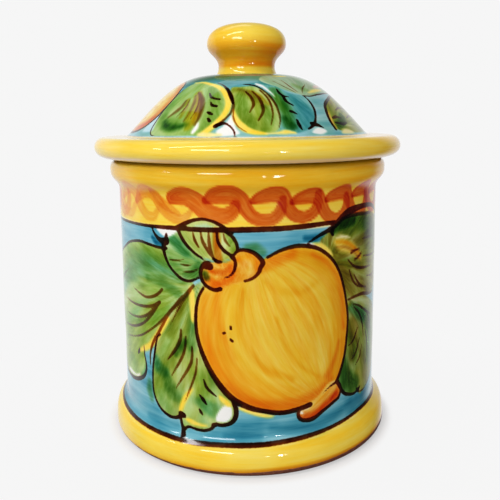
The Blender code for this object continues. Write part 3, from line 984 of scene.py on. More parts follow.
STALK = Field(
    outline=((-16, 80.5), (-17.3, 77.5), (-17.2, 75), (-16, 72.5), (-14, 71), (-11, 70.6), (-8, 72),
        (-3, 73.6), (1.5, 74.8), (3.8, 77), (4.4, 79), (5.2, 80.6), (4.3, 82.3), (2, 84.4), (-1, 85.4),
        (-3.5, 85.1), (-5.2, 83.4), (-7, 81.2), (-11, 80.6)),
    flow=Flow.RING, heart=(-9, 78),
    tints=(
        Tint(Paint.OCHRE, 0.5), Tint(Paint.GOLD, 0.25, -0.5), Tint(Paint.ORANGE, 0.3, 0.2)),
    dabs=(
        Dab(Paint.ORANGE, ((-15, 74), (-11, 72.6), (-6.5, 75), (-5.6, 79)), (3, 3.6, 3, 2), 0.5, 1.0),
        Dab(Paint.RUST, ((-13.5, 77.4), (-9, 77), (-6.6, 79)), (1.4, 2.2, 1.4), 0.4, 0.8),
        Dab(Paint.YELLOW, ((-3.4, 82), (-0.4, 82.8), (2.4, 80.5)), (1.4, 2.2, 1.6), 0.5, 0.8),
        Dab(Paint.DARK_GREEN, ((-15.8, 76.2), (-15.2, 75)), (2.2, 2.2), 0.7, 0.8)),
    lines=strokes(
        (((-14, 80.4), (-15.8, 80), (-17.2, 77.6), (-17.2, 75), (-16, 72.6), (-14, 71.1), (-11.8, 70.5),
            (-10, 71)), (1.6, 2.0, 1.7, 1.5, 1.7, 1.9)),
        (((-15.2, 79.3), (-13.8, 79)), (3.2, 3.0)),
        (((-5.3, 83.4), (-4.5, 80.6), (-4.9, 78), (-6.3, 76), (-8.6, 75)), (1.2, 1.5, 1.2, 0.8)),
        (((-5, 83.4), (-3.5, 84.9), (-1, 85.2), (2, 84.2), (4.3, 82.2), (5.3, 80.5), (4.4, 78.9), (3.7, 77),
            (1.6, 75), (-1.2, 74)), (1.3, 1.6, 1.9, 2.0, 1.5, 1.3))),
    halo=0.0)

WALL_SLIVERS = (
    Sliver(((-50.5, 40.6), (-47, 43.4), (-43.4, 45.6), (-39.4, 49.8), (-35.6, 54.6), (-32.6, 58.2),
        (-31, 57.4), (-34, 52.4), (-37.4, 47.8), (-40.4, 44.4), (-44, 42), (-49, 40)), Paint.YELLOW, 0.95),
    Sliver(((-36.6, 91.5), (-33.4, 88.8), (-30.8, 88.2), (-27.8, 89.6), (-26, 91.8), (-31, 91.9))),
    Sliver(((-62, 29.2), (-55, 29), (-50.4, 30.6), (-52, 28.4), (-58, 27.5), (-64, 27.7))),
    Sliver(((-22, 71), (-20, 69.5), (-19.4, 64), (-20.2, 58), (-21.6, 58.4), (-22.2, 65)), Paint.YELLOW,
        0.8),
    Sliver(((-12.4, 20), (-9, 19.8), (-6.8, 21.4), (-6.2, 24), (-7, 26.8), (-9.6, 26.4), (-12.2, 23))),
    Sliver(((-11.2, 30.6), (-8, 28.9), (-6.4, 26.8), (-8.2, 26.4), (-10.8, 28.4)), Paint.YELLOW, 0.9),
    Sliver(((-28, 21.8), (-26.2, 22), (-24.6, 25.6), (-21.2, 31.8), (-23.6, 30.6), (-26.4, 27)),
        Paint.YELLOW, 1.0),
    Sliver(((-25, 18.7), (-22, 17.2), (-17.5, 17), (-15.6, 18), (-19, 18.4), (-23.4, 19.6)), Paint.YELLOW,
        0.9),
    Sliver(((-4, 25.4), (2, 22.8), (7, 21.6), (9, 22.4), (3, 24.4), (-2, 26.6)), Paint.YELLOW, 0.75),
    Sliver(((19, 86.2), (24, 86.6), (29, 84.2), (27.6, 83.6), (23, 85.4))),
    Sliver(((24, 86.4), (28, 86), (32, 83), (33.4, 80.4), (30, 82.2), (27, 84.6)), Paint.YELLOW, 0.8),
    Sliver(((33.4, 86.2), (36, 87.2), (40, 86.4), (45, 84), (48.6, 81), (51.6, 77), (49, 76.4), (45, 79),
        (40.6, 80.6), (36.6, 82), (34.4, 84)), Paint.GOLD, 0.8, 1.2),
    Sliver(((34.4, 87), (37.4, 88), (41.4, 87.2), (43, 86.2), (40, 86.3), (37, 86.8)), Paint.YELLOW, 0.25),
    Sliver(((19.6, 22.6), (20.8, 21.8), (20, 21), (19.2, 21.8))),
    Sliver(((-19.4, 93.2), (-15.6, 94.1), (-12, 93.2), (-15.6, 92.5)), Paint.MINT, 0.6))

RIGHT_LEAF_STREAKS = (
    Dab(Paint.BROWN, ((35, 83.6), (40, 83), (45, 80.6), (50, 76.4)), (0.6, 1.2, 1.2, 0.6), 0.3, 0.5),
    Dab(Paint.OCHRE, ((35, 85.6), (40, 84.8), (45.4, 82), (50.6, 77.6)), (0.8, 1.6, 1.6, 1.0), 0.7, 0.6),
    Dab(Paint.BROWN, ((43.4, 80.4), (46, 81), (49.4, 80.6)), (0.7, 1.0, 0.6), 0.9, 0.3),
    Dab(Paint.BROWN, ((46, 77.2), (48.6, 78), (51, 79)), (0.7, 1.0, 0.6), 0.9, 0.3))

GROUND_DABS = (
    Dab(Paint.TEAL, ((-44, 14.8), (-36, 14.2), (-28.5, 15.2)), (1.5, 3.0, 1), 0.22, 2.0),
    Dab(Paint.TEAL, ((8, 17.6), (17, 16.4), (27, 15.6), (37, 17.8), (44, 20)), (1, 4, 4.6, 4, 2), 0.34,
        2.4),
    Dab(Paint.TEAL, ((-9, 14.6), (-3, 14.6), (4, 14.4)), (1, 2.4, 1), 0.25, 1.6),
    Dab(Paint.TEAL, ((-2, 18.6), (4, 19.4), (10, 19.2)), (1, 2.6, 1), 0.16, 2.0),
    Dab(Paint.TEAL, ((-38.5, 87.5), (-36, 85.6), (-34, 85.2)), (1.2, 2.4, 2), 0.8, 0.8),
    Dab(Paint.TEAL, ((21, 88.4), (25, 88), (29, 88.6)), (1.6, 2.6, 2), 0.7, 1.0),
    Dab(Paint.LEAF, ((0, 85.8), (2.6, 85.6), (5, 84.4)), (2.4, 3.6, 2.4), 0.6, 1.4),
    Dab(Paint.LEAF, ((-43.4, 29), (-43.6, 26), (-42.4, 22.6)), (2.2, 3.6, 2), 0.5, 1.4))

SCROLL_LOOP = Stroke(((-4.8, 101.9), (-3.0, 102.9), (-0.5, 103.7), (2.2, 104.2), (4.8, 103.9), (6.8, 101.9),
    (8.0, 99.2), (9.8, 96.9), (12.4, 95.6), (15.2, 95.5), (17.8, 96.7), (19.4, 98.8), (19.9, 101.4),
    (19.6, 103.4)), (2.0, 4.0, 5.2, 5.8, 5.8, 5.3, 4.9, 4.7, 4.3, 4.1, 4.1, 4.1, 3.9, 2.8))

SCROLL_START = (
    (0.2, Stroke(((-76, 101), (-72, 104), (-67, 104.8), (-63, 102), (-60.6, 98), (-56.5, 95.4), (-52, 95.6),
        (-49.4, 98.4)), (2.0, 4.0, 4.6, 4.4, 4.0, 3.6, 3.4, 2.6))),
    (0.24, Stroke(((-61, 100.6), (-57, 103.8), (-52, 105.2), (-48, 103.2), (-45.4, 99.2), (-41.6, 95.8),
        (-37.6, 95.4), (-35.4, 97.8)), (2.0, 4.4, 5.0, 5.0, 4.4, 4.0, 3.6, 2.4))),
    (0.36, Stroke(((-48, 100.4), (-45, 103.2), (-40.4, 104.7), (-36.6, 103.2), (-33.8, 99.8), (-30.2, 96.8),
        (-26.2, 95.4), (-22.8, 96.2), (-20.8, 98.2)), (2.4, 4.6, 5.0, 5.0, 4.6, 4.2, 3.8, 3.2, 1.8))),
    (0.28, Stroke(((-37.8, 104.6), (-34.4, 101.6), (-30.4, 99.4), (-25.6, 97.4)), (2.4, 3.8, 3.6, 1.6))),
    (0.84, Stroke(((-28.4, 102.7), (-25.6, 103.4), (-22, 103.6), (-18.6, 101.9), (-15.6, 99.2), (-12, 97.5),
        (-8, 97.2), (-5.2, 98.8), (-4.0, 101.2)), (4.6, 6.4, 7.0, 7.0, 6.6, 6.2, 5.8, 5.2, 3.4))),
    (0.96, Stroke(((-14.8, 102.4), (-12.2, 103.8), (-8.6, 104.7), (-5, 104.5), (-2.2, 102.5), (-0.6, 99.6),
        (1.4, 97.1), (4.4, 95.7), (8, 95.6), (10.8, 97.4), (12.1, 100), (12.5, 102.8)),
        (2.8, 5.4, 6.6, 6.6, 5.9, 5.0, 4.7, 4.4, 4.2, 4.2, 4.0, 2.6))))


class Maiolica:
    """Bands, ground, scroll and motifs of the jar's outside."""

    ground_top: float = 92.0
    even_loops: int = 15
    loop_rises: dict[float, float] = {6.4: 0.3, 20.6: -0.6, 34.6: -0.4, 48.4: 0.1}
    loop_length: float = 14.2
    scroll_end: float = 74.0

    def __init__(self, canvas: Canvas) -> None:
        """Takes the jar's outside as the canvas."""
        self.canvas = canvas
        self.front = canvas.seen_from(0.0)
        self.back = canvas.seen_from(canvas.span / 2, sway=1.6, seed=5)

    def paint(self) -> None:
        """Paints everything in the order in which the glazes go on."""
        self.lay_bands()
        self.lay_ground()
        self.lay_scroll()
        for view in (self.front, self.back):
            for dab in GROUND_DABS:
                dab.lay(view)
            for leaf in (OUTER_LEAF, LOWER_LEAF, RIGHT_LEAF, RIGHT_LOWER_LEAF):
                leaf.paint(view)
            for motif in (FRUIT, NUB, SIDE_LOBE, TOP_LOBE, STALK):
                motif.paint(view)
            for sliver in WALL_SLIVERS:
                sliver.lay(view)
            for dab in RIGHT_LEAF_STREAKS:
                dab.lay(view)
        self.draw_band_lines()

    def foot_line(self) -> np.ndarray:
        """Height of the dark line over the foot at every vertex, as the hand let it climb to the right."""
        half = self.canvas.span / 2
        knots = ((-half, 12.4), (-75, 11.9), (-50, 11.5), (-25, 11.3), (-8, 11.8), (5, 12.0), (18, 12.6),
                 (32, 13.2), (50, 14.1), (66, 13.9), (half, 12.4))
        low = np.interp(self.canvas.chart[:, 0], *zip(*knots))
        return low + 0.3 * (streaks(self.canvas.place, 32, 30, math.inf) - 0.5)

    def lay_bands(self) -> None:
        """Yellow foot and rim, with ochre and brown painted shade under the lid and low on the foot."""
        canvas = self.canvas
        height = canvas.chart[:, 1]
        streak = streaks(canvas.place, 11, 34, 2.4)
        patch = noise(canvas.place / 18.0, 12)
        foot = smooth_step((self.foot_line() - height) / 0.8 + 0.4)
        rim = smooth_step((height - 91.6) / 1.0)
        amount = 0.66 + 0.26 * streak + 0.16 * patch
        canvas.coat(Paint.YELLOW, (foot + rim) * amount)
        turn = canvas.chart[:, 0] / WALL_RADIUS
        # Painted shade: front grows round to the right, away from the lamps, and the rim's ochre deepens
        # under the lid's flange.
        front = 0.5 + 0.5 * np.sin(turn + 0.5)
        shade_under_lid = smooth_step((height - 103.0) / 5.0)
        belt = smooth_step((height - 95.5) / 3.0) * smooth_step((106.5 - height) / 3.0)
        ochre = rim * (0.02 + 0.16 * belt + shade_under_lid * (0.24 + 0.34 * front) + 0.16 * patch)
        canvas.coat(Paint.OCHRE, ochre * amount * 0.75)
        # Painted shade on the foot: ochre patches are heavier on the right, away from the lamps, and ochre
        # and brown deepen towards the bottom edge, higher on the right.
        right = 0.5 + 0.5 * np.sin(turn + 0.3)
        lip = height - 1.6 * right
        foot_ochre_and_shade = (0.02 + 0.26 * streak * patch) * (0.3 + 0.7 * right)
        foot_ochre_and_shade += (0.2 + 0.35 * right) * smooth_step((4.4 - lip) / 3.4)
        canvas.coat(Paint.OCHRE, foot * foot_ochre_and_shade)
        canvas.coat(Paint.BROWN, foot * 0.4 * right * smooth_step((3.2 - lip) / 1.8))

    def lay_ground(self) -> None:
        """Aqua ground between the bands, in level strokes of uneven strength."""
        canvas = self.canvas
        height = canvas.chart[:, 1]
        inside = smooth_step((height - self.foot_line()) / 0.9 + 0.2)
        inside *= smooth_step((self.ground_top - height) / 0.9)
        streak = streaks(canvas.place, 21, 26, 3.2)
        fine = streaks(canvas.place, 22, 14, 1.3)
        patch = noise(canvas.place / 15.0, 23)
        low_part = smooth_step((30 - height) / 16)
        aqua = 0.42 + 0.5 * streak + 0.2 * fine + 0.3 * (patch - 0.5)
        teal = np.clip(0.9 * (patch - 0.45), 0, 1) + 0.13 * low_part * streak
        canvas.coat(Paint.AQUA, inside * aqua)
        canvas.coat(Paint.TEAL, inside * teal * 0.8)
        canvas.coat(Paint.SKY, inside * smooth_step((height - 70) / 15) * 0.16)

    def lay_scroll(self) -> None:
        """Chain of orange loops: each runs up over its hole and down under the next one's."""
        draw = np.random.default_rng(17)
        coat = np.zeros(len(self.canvas.chart))
        for load, stroke in SCROLL_START:
            self.lay_loop(stroke, load, coat)
        centres = list(self.loop_rises)
        last = self.canvas.span - self.scroll_end
        centres += list(np.linspace(centres[-1], last, self.even_loops + 2)[1:])
        for place, centre in enumerate(centres):
            following = centres[place + 1] if place + 1 < len(centres) else last + 14.0
            stretch, tilt = (following - centre) / self.loop_length, draw.normal(0.0, 0.02)
            rise = self.loop_rises.get(centre, draw.uniform(-0.5, 0.3))
            marks = tuple((centre + s * stretch, z + rise + s * tilt) for s, z in SCROLL_LOOP.marks)
            load = draw.uniform(0.88, 1.04) * (0.3 if place + 1 == len(centres) else 1.0)
            self.lay_loop(Stroke(marks, SCROLL_LOOP.widths), load, coat)
        self.canvas.coat(Paint.TERRACOTTA, coat)

    def lay_loop(self, stroke: Stroke, load: float, coat: np.ndarray) -> None:
        """Adds one loop of the scroll, where it crosses another only a little deeper.

        Args:
            stroke: The loop, in places on the wall.
            load: How much pigment the brush gives.
            coat: Amount of pigment on every vertex, added to.
        """
        start = stroke.marks[0][0]
        view = self.canvas.seen_from(start)
        here = Stroke(tuple((s - start, z) for s, z in stroke.marks), stroke.widths)
        index, edge, along = here.spread(view, 0.5)
        hairs = np.stack([edge * 1.5, along * 2.6, np.full(len(index), start * 0.7)], axis=1)
        pooled = 0.92 + 0.2 * np.exp(-((edge + 0.45) / 0.4) ** 2) + 0.5 * (noise(hairs, 35) - 0.5)
        cover = within_edge(edge, 0.275) * load * pooled * (1.0 + 0.4 * np.exp(-along / 0.06))
        core = edge < 0.0
        self.canvas.brush[index[core]] = hairs[core] * np.array((0.7, 1.0, 1.0))
        under = coat[index]
        coat[index] = np.maximum(under, cover) + 0.75 * np.minimum(under, cover)

    def draw_band_lines(self) -> None:
        """Dark lines that part the bands from the ground, thick and thin by hand, and a painted highlight
        under the foot line.
        """
        canvas = self.canvas
        around = canvas.place * np.array((1 / 30, 1 / 30, 0.0))
        place, height = canvas.chart[:, 0], canvas.chart[:, 1]
        half = canvas.span / 2
        knots = ((-half, 91.6), (-75, 90.9), (-50, 91.5), (-30, 92.0), (10, 92.3), (30, 93.0), (60, 92.4),
                 (half, 91.6))
        top = np.interp(place, *zip(*knots)) + 0.5 * (noise(around, 31) - 0.5)
        low = self.foot_line()
        thick = 1.5 + 0.6 * (noise(around * 2.3, 33) - 0.5)
        side = (place + half / 2) % half - half / 2
        top_weight = ((-74.0, 0.7), (-50.0, 0.85), (-30.0, 1.2), (0.0, 1.42), (34.0, 1.35), (37.5, 0.4),
                      (40.0, -1.0), (70.0, -1.0))
        low_weight = ((-75.0, 0.7), (-48.0, 0.85), (-20.0, 1.05))
        for centre, weight in ((top, top_weight), (low, low_weight)):
            width = thick * np.interp(side, *zip(*weight))
            canvas.line = np.minimum(canvas.line, np.abs(height - centre) - width / 2)
        # Painted highlight: a thin broken strip just under the foot line is whitened where a lamp glints.
        gap = smooth_step(1 - np.abs(height - (low - 1.0)) / 0.4) * (0.8 * noise(around * 3.0, 34) - 0.1)
        canvas.wash *= (1 - np.clip(gap, 0.0, 0.6))[:, None]


# Motif of the dome

DOME_LEFT_LEAF = Field(
    outline=((-46, 28), (-38, 30), (-30, 29.4), (-20, 27), (-14, 24.2), (-10, 20.2), (-8, 16.4),
        (-8.4, 12.4), (-11, 8), (-14, 4.6), (-17, 1.6), (-26, 1.2), (-38, 1.0), (-46, 1.4), (-49.4, 5),
        (-50.6, 15), (-49, 24)),
    flow=Flow.FAN, heart=(-30, 38),
    tints=(
        Tint(Paint.LEAF, 0.3, -0.2), Tint(Paint.LIME, 0.16, 0.0), Tint(Paint.MINT, 0.44, 0.0, 2.0)),
    dabs=(
        Dab(Paint.DARK_GREEN, ((-43, 8), (-40, 5.6), (-34, 5.0), (-29, 6.2)), (1.6, 3.2, 3.0, 1.8), 0.62,
            1.5),
        Dab(Paint.LEAF, ((-46, 10), (-42, 7), (-36, 6)), (3, 5, 5), 0.45, 1.8),
        Dab(Paint.GOLD, ((-31.6, 22), (-28.4, 17), (-28, 11), (-27, 5)), (2.4, 4.6, 5.0, 3.0), 0.8, 1.0),
        Dab(Paint.OCHRE, ((-31, 23), (-27, 18), (-25.4, 12), (-25, 7)), (1.6, 2.6, 2.4, 1.4), 0.6, 0.8),
        Dab(Paint.OCHRE, ((-36, 19), (-34, 15), (-34, 10)), (1.4, 2.0, 1.2), 0.6, 0.8),
        Dab(Paint.BROWN, ((-31.4, 22.6), (-28.4, 20.6), (-25, 17), (-23.4, 11), (-24, 6)),
            (1, 2, 1.8, 1.2, 0.5), 0.6, 0.5),
        Dab(Paint.BROWN, ((-32.4, 21), (-30.4, 17), (-30, 12), (-31, 8)), (0.9, 1.4, 0.9, 0.5), 0.4, 0.5),
        Dab(Paint.BROWN, ((-37.4, 18.4), (-38, 14.6), (-42.4, 10)), (0.8, 2.0, 0.6), 0.5, 0.6),
        Dab(Paint.LEAF, ((-24, 25), (-18, 19), (-16, 10), (-19, 3)), (4, 5, 5, 4), 0.4, 1.6),
        Dab(Paint.MINT, ((-47, 25), (-47.6, 16), (-47, 8)), (3, 5, 3), 0.4, 1.6)),
    lines=strokes(
        (((-22, 28.8), (-17, 27.2), (-12.6, 24.4), (-9.4, 20.6), (-7.2, 16.4)), (0.4, 0.9, 1.5, 1.8, 1.2)),
        (((-42, 1.0), (-46.4, 1.5), (-49.4, 4.6), (-50.8, 12), (-50.6, 19), (-49, 25)),
            (0.4, 0.8, 1.0, 0.9, 0.6)),
        (((-23.5, 22.4), (-20.6, 19.8), (-15.4, 18.7)), (0.6, 1.4, 1.2)),
        (((-20.2, 17.4), (-18.6, 15.8), (-16, 15.2)), (0.8, 1.5, 1.4)),
        (((-20, 12.4), (-18.6, 11.8), (-17, 11.2)), (0.9, 1.7, 1.2)),
        (((-18.4, 9.2), (-17.2, 8)), (1.3, 1.5))),
    veins=strokes(
        (((-34.8, 19), (-34.4, 15), (-37, 9.6)), (0.5, 0.9, 0.5)),
        (((-28.6, 19.6), (-27, 15), (-27.6, 9)), (0.5, 0.9, 0.5))),
    halo=0.2)

DOME_MIDDLE_LEAF = Field(
    outline=((-10, 24.8), (-4, 25.6), (3, 26), (8.6, 24.4), (12.8, 20.8), (15.4, 16.2), (15.8, 10.6),
        (14.4, 5.6), (12, 2.8), (4, 2.2), (-1.5, 4), (-4.8, 8.6), (-6.8, 13), (-7.4, 17)),
    flow=Flow.FAN, heart=(2, 36),
    tints=(
        Tint(Paint.LEAF, 0.4, -0.2), Tint(Paint.LIME, 0.3, -0.1), Tint(Paint.OLIVE, 0.16, 0.3)),
    dabs=(
        Dab(Paint.OLIVE, ((-8, 24), (-3, 23), (4, 20), (9, 15)), (2.4, 3.6, 3.6, 2.4), 0.4, 1.4),
        Dab(Paint.BROWN, ((-5, 24.4), (0, 22.8), (5, 19.6)), (1.0, 1.8, 1.2), 0.2, 0.9),
        Dab(Paint.OCHRE, ((2, 23.4), (7, 20.6), (11.4, 16)), (1.0, 1.6, 1.0), 0.5, 0.7),
        Dab(Paint.LEAF, ((-4, 20), (-2, 13), (2, 6)), (3, 5, 4), 0.45, 1.4),
        Dab(Paint.LEAF, ((9, 14), (10, 9), (8, 4)), (3, 4, 3), 0.5, 1.2),
        Dab(Paint.LIME, ((3, 19), (5.6, 14), (5, 9)), (1.6, 2.2, 1.4), 0.4, 0.8)),
    lines=strokes(
        (((-3, 27.4), (2, 27.0), (6, 26.2), (9.6, 24.2)), (0.5, 1.1, 1.2, 0.7)),
        (((19.6, 24.4), (20.2, 22), (22.2, 20.4), (25.4, 19.8)), (0.8, 1.5, 1.3, 0.6)),
        (((21.6, 20.6), (22.2, 17.6), (25.2, 15.4)), (1.4, 1.5, 1.0)),
        (((22.6, 12.4), (25, 11.2)), (1.8, 1.0)),
        (((23.8, 8.2), (23.8, 5.8), (24.2, 3.6)), (1.2, 1.8, 0.9))),
    veins=strokes(
        (((-0.6, 22.8), (2.4, 19.8), (3.6, 16), (1.4, 12)), (0.9, 1.5, 1.4, 0.8)),
        (((3.4, 23), (7.2, 18.8), (8.2, 13), (5.2, 8)), (0.9, 1.6, 1.5, 0.9)),
        (((8.4, 23.6), (12.2, 18.6), (12.8, 12), (10.6, 5.8)), (1.0, 1.1, 1.0, 0.7)),
        (((9.2, 24.6), (13.4, 20.4), (15.6, 15.2), (15.6, 9), (13.8, 4.4)), (0.9, 1.3, 1.2, 1.0, 0.6))),
    halo=0.15)

DOME_AQUA_LEAF = Field(
    outline=((10, 26.8), (16, 26.6), (20, 26), (26, 22.4), (33, 20.8), (37.6, 19.6), (38.4, 16.4), (36, 11),
        (32, 6.6), (27, 3.6), (20, 2.0), (13, 2.4), (15, 8), (15.8, 14), (13.4, 20)),
    flow=Flow.FAN, heart=(18, 34),
    tints=(
        Tint(Paint.BLUE_GREEN, 0.42, -0.3), Tint(Paint.TEAL, 0.12, 0.2), Tint(Paint.AQUA, 0.24, 0.1)),
    dabs=(
        Dab(Paint.TEAL, ((29, 19), (31, 13), (29, 6)), (5, 7, 6), 0.24, 2.6),
        Dab(Paint.LEAF, ((17.6, 23), (19.4, 14), (19.4, 6)), (4, 6, 5), 0.7, 1.4),
        Dab(Paint.LIME, ((17.6, 20), (19.4, 13), (19.4, 7)), (2, 3, 2), 0.5, 1.2),
        Dab(Paint.DARK_GREEN, ((18, 9), (19.6, 5.4)), (2.4, 3.0), 0.55, 1.2)),
    lines=strokes(
        (((36.6, 20.4), (38, 18), (37.8, 14), (35.4, 9.8), (32, 6.2), (27.6, 3.8)),
            (0.7, 1.3, 1.3, 1.1, 1.6, 1.0)),
        (((31, 6.2), (33.4, 5.8), (36, 4.4)), (2.4, 2.2, 0.8))),
    halo=0.3)

DOME_RIGHT_LEAF = Field(
    outline=((43.4, 4), (43.6, 8), (46, 12.5), (50, 16), (58, 18.6), (70, 21), (82, 20), (90, 15), (92, 8),
        (88, 2.5), (70, 1.8), (54, 1.8)),
    flow=Flow.FAN, heart=(44, 6),
    tints=(
        Tint(Paint.OLIVE, 0.5), Tint(Paint.LEAF, 0.45, 0.2), Tint(Paint.LIME, 0.35, 0.4)),
    dabs=(
        Dab(Paint.DARK_GREEN, ((46, 5), (52, 7), (58, 10)), (3, 4, 3), 0.6, 1.4),
        Dab(Paint.YELLOW, ((45.2, 5), (45.4, 9), (48, 12.6), (54, 16), (62, 17.8)), (1.0, 1.4, 1.2), 0.7,
            0.6)),
    lines=strokes(
        (((43.2, 3.4), (43.5, 8), (46, 12.6), (50, 16.1), (58, 18.7), (70, 21), (82, 20), (90, 15),
            (92, 8)), (1.4, 1.7, 1.6, 1.4, 1.2, 1.0, 1.1))),
    veins=strokes(
        (((47, 9), (51, 9.6), (55, 9)), (1.3, 1.8, 1.0)),
        (((46.6, 6.6), (52, 6), (57, 6.6)), (1.3, 1.8, 1.0)),
        (((56, 13), (64, 14.4), (73, 13.6)), (0.8, 1.3, 0.7)),
        (((62, 9), (70, 10), (79, 9)), (0.8, 1.3, 0.7))),
    halo=0.25)

DOME_UPPER_LEAF = Field(
    outline=((10, 30), (14, 34.4), (30, 36.2), (46, 36.5), (60, 35), (74, 32), (86, 28), (92, 25),
        (84, 23.2), (72, 23), (60, 22.8), (50, 21.6), (40, 20.6), (32, 21.8), (20, 25.6)),
    flow=Flow.FAN, heart=(36, 20),
    tints=(
        Tint(Paint.MINT, 0.34, -0.5), Tint(Paint.BLUE_GREEN, 0.14, -0.2), Tint(Paint.BROWN, 0.08, -0.2)),
    dabs=(
        Dab(Paint.LEAF, ((36, 27), (40, 25), (44, 24)), (2, 3, 2), 0.3, 1.4),),
    lines=strokes(
        (((36, 20.6), (42, 20.4), (50, 21.4), (62, 22.4), (76, 22.8), (88, 23.2)), (0.8, 1.0, 0.8, 0.8))),
    veins=strokes(
        (((37, 22), (41, 25), (49, 28)), (0.5, 0.9, 0.4)),
        (((34, 22.6), (31, 26), (28, 31)), (0.5, 0.8, 0.4)),
        (((32, 22.4), (26, 26), (20, 30)), (0.5, 0.7, 0.4))),
    halo=0.2)

DOME_FRUIT = Field(
    outline=((-52, 14), (-54, 8), (-60, 4), (-72, 2.2), (-84, 4), (-91, 10), (-93, 18), (-89, 26),
        (-80, 31), (-68, 32), (-57, 29), (-51, 22)),
    flow=Flow.RING, heart=(-72, 17),
    tints=(
        Tint(Paint.GOLD, 0.5, 0.0, 2.6), Tint(Paint.OCHRE, 0.22, 0.3), Tint(Paint.TERRACOTTA, 0.1, 0.4)),
    dabs=(
        Dab(Paint.TERRACOTTA, ((-66, 30), (-56, 26), (-53, 18), (-57, 9), (-68, 5)), (3, 4, 4, 4, 3), 0.42,
            1.8),
        Dab(Paint.RUST, ((-55, 10), (-62, 5.4), (-74, 4)), (2, 3, 2), 0.4, 1.2)),
    lines=strokes(
        (((-68, 32), (-57, 29), (-51, 22), (-51.6, 14), (-54.6, 8), (-61, 4), (-72, 2.4), (-84, 4),
            (-91, 10), (-93, 18), (-89, 26), (-80, 31), (-70, 32)),
            (0.9, 1.2, 1.4, 1.5, 1.4, 1.2, 1.2, 1.1))),
    halo=0.2)

DOME_SLIVERS = (
    Sliver(((-12, 1.2), (-13, 3.4), (-10.6, 5.6), (-8.4, 9), (-6.6, 12), (-5.8, 9), (-4.6, 5), (-3, 2),
        (-8, 1))),
    Sliver(((6.6, 28.2), (11.4, 26.6), (15.8, 21.8), (16.4, 19.6), (14, 22), (10.4, 25), (6, 27))),
    Sliver(((28.6, 2.2), (32, 4.4), (35.4, 4), (37, 2.6), (33, 1.2))),
    Sliver(((-24.4, 3.0), (-22.8, 7.6), (-21.6, 4.8), (-23, 2))),
    Sliver(((-56, 3), (-55, 8), (-51.6, 12), (-49, 7), (-48, 3)), Paint.SKY, 0.35, 1.0),
    Sliver(((46, 1.2), (49, 3.6), (54, 3.2), (56, 1.2)), Paint.YELLOW, 0.3, 0.8))

DOME_RIMS = (
    Dab(Paint.YELLOW, ((-44, 29.4), (-36, 29.6), (-29, 28.4), (-20, 26.2), (-14.4, 23.2), (-11, 19.2),
        (-9.8, 15.4), (-11, 11), (-14.4, 6.6), (-18.4, 2.4)), (0.8, 1.4, 2.0, 2.2, 2.3, 2.5, 2.5), 0.85,
        0.5),
    Dab(Paint.YELLOW, ((-6.8, 13.4), (-5, 9), (-1.8, 5.2), (2.6, 2.8), (8, 2.0)), (0.8, 2.2, 3.0, 2.4, 1.2),
        0.9, 0.5),
    Dab(Paint.YELLOW, ((8, 2), (13, 2.2), (17, 2.6), (20.4, 2.2)), (0.8, 1.0, 2.4, 1.2), 0.6, 0.5),
    Dab(Paint.YELLOW, ((-20, 1.8), (-16, 1.6), (-11, 1.6)), (2.0, 2.4, 1.0), 0.4, 0.7),
    Dab(Paint.YELLOW, ((43, 22.4), (49, 23.4), (56, 24.2), (64, 24.6)), (0.6, 1.9, 1.9, 0.8), 0.55, 0.5),
    Dab(Paint.TERRACOTTA, ((56, 26), (64, 27), (74, 27.6)), (0.9, 1.9, 1.5), 0.3, 0.8),
    Dab(Paint.OCHRE, ((44.6, 4), (45, 8), (47.2, 12.2)), (0.8, 1.2, 0.7), 0.6, 0.5),
    # A brown ring round the knob's foot, partly a painted ring and partly painted shade from the knob.
    Dab(Paint.BROWN, ((-26, 36.2), (-8, 36.0), (10, 35.8), (28, 36.4)), (0.6, 1.5, 1.6, 0.8), 0.5, 0.7),
    Dab(Paint.YELLOW, ((26, 35.0), (33, 34.8), (40, 35.2)), (0.9, 1.6, 0.8), 0.8, 0.4))

DOME_RED = strokes(
    (((-13.8, 5.6), (-12.4, 6.4), (-10, 6.9), (-7.2, 5.4), (-5.4, 3.2), (-4.8, 0.8)),
        (2.2, 2.0, 1.1, 0.9, 0.9, 0.7)))
DOME_BROWN = strokes(
    (((-7, 16.4), (-7.8, 12), (-10.6, 8.4), (-13.2, 6)), (1.3, 1.1, 1.2, 1.8)),
    (((-12.6, 24.8), (-9.4, 21), (-7, 16), (-6.6, 12)), (1.2, 1.8, 1.4, 0.8)),
    (((-6.6, 13), (-6.2, 9.4), (-3.8, 5.4), (0, 2.8)), (0.7, 0.9, 0.8, 0.5)))


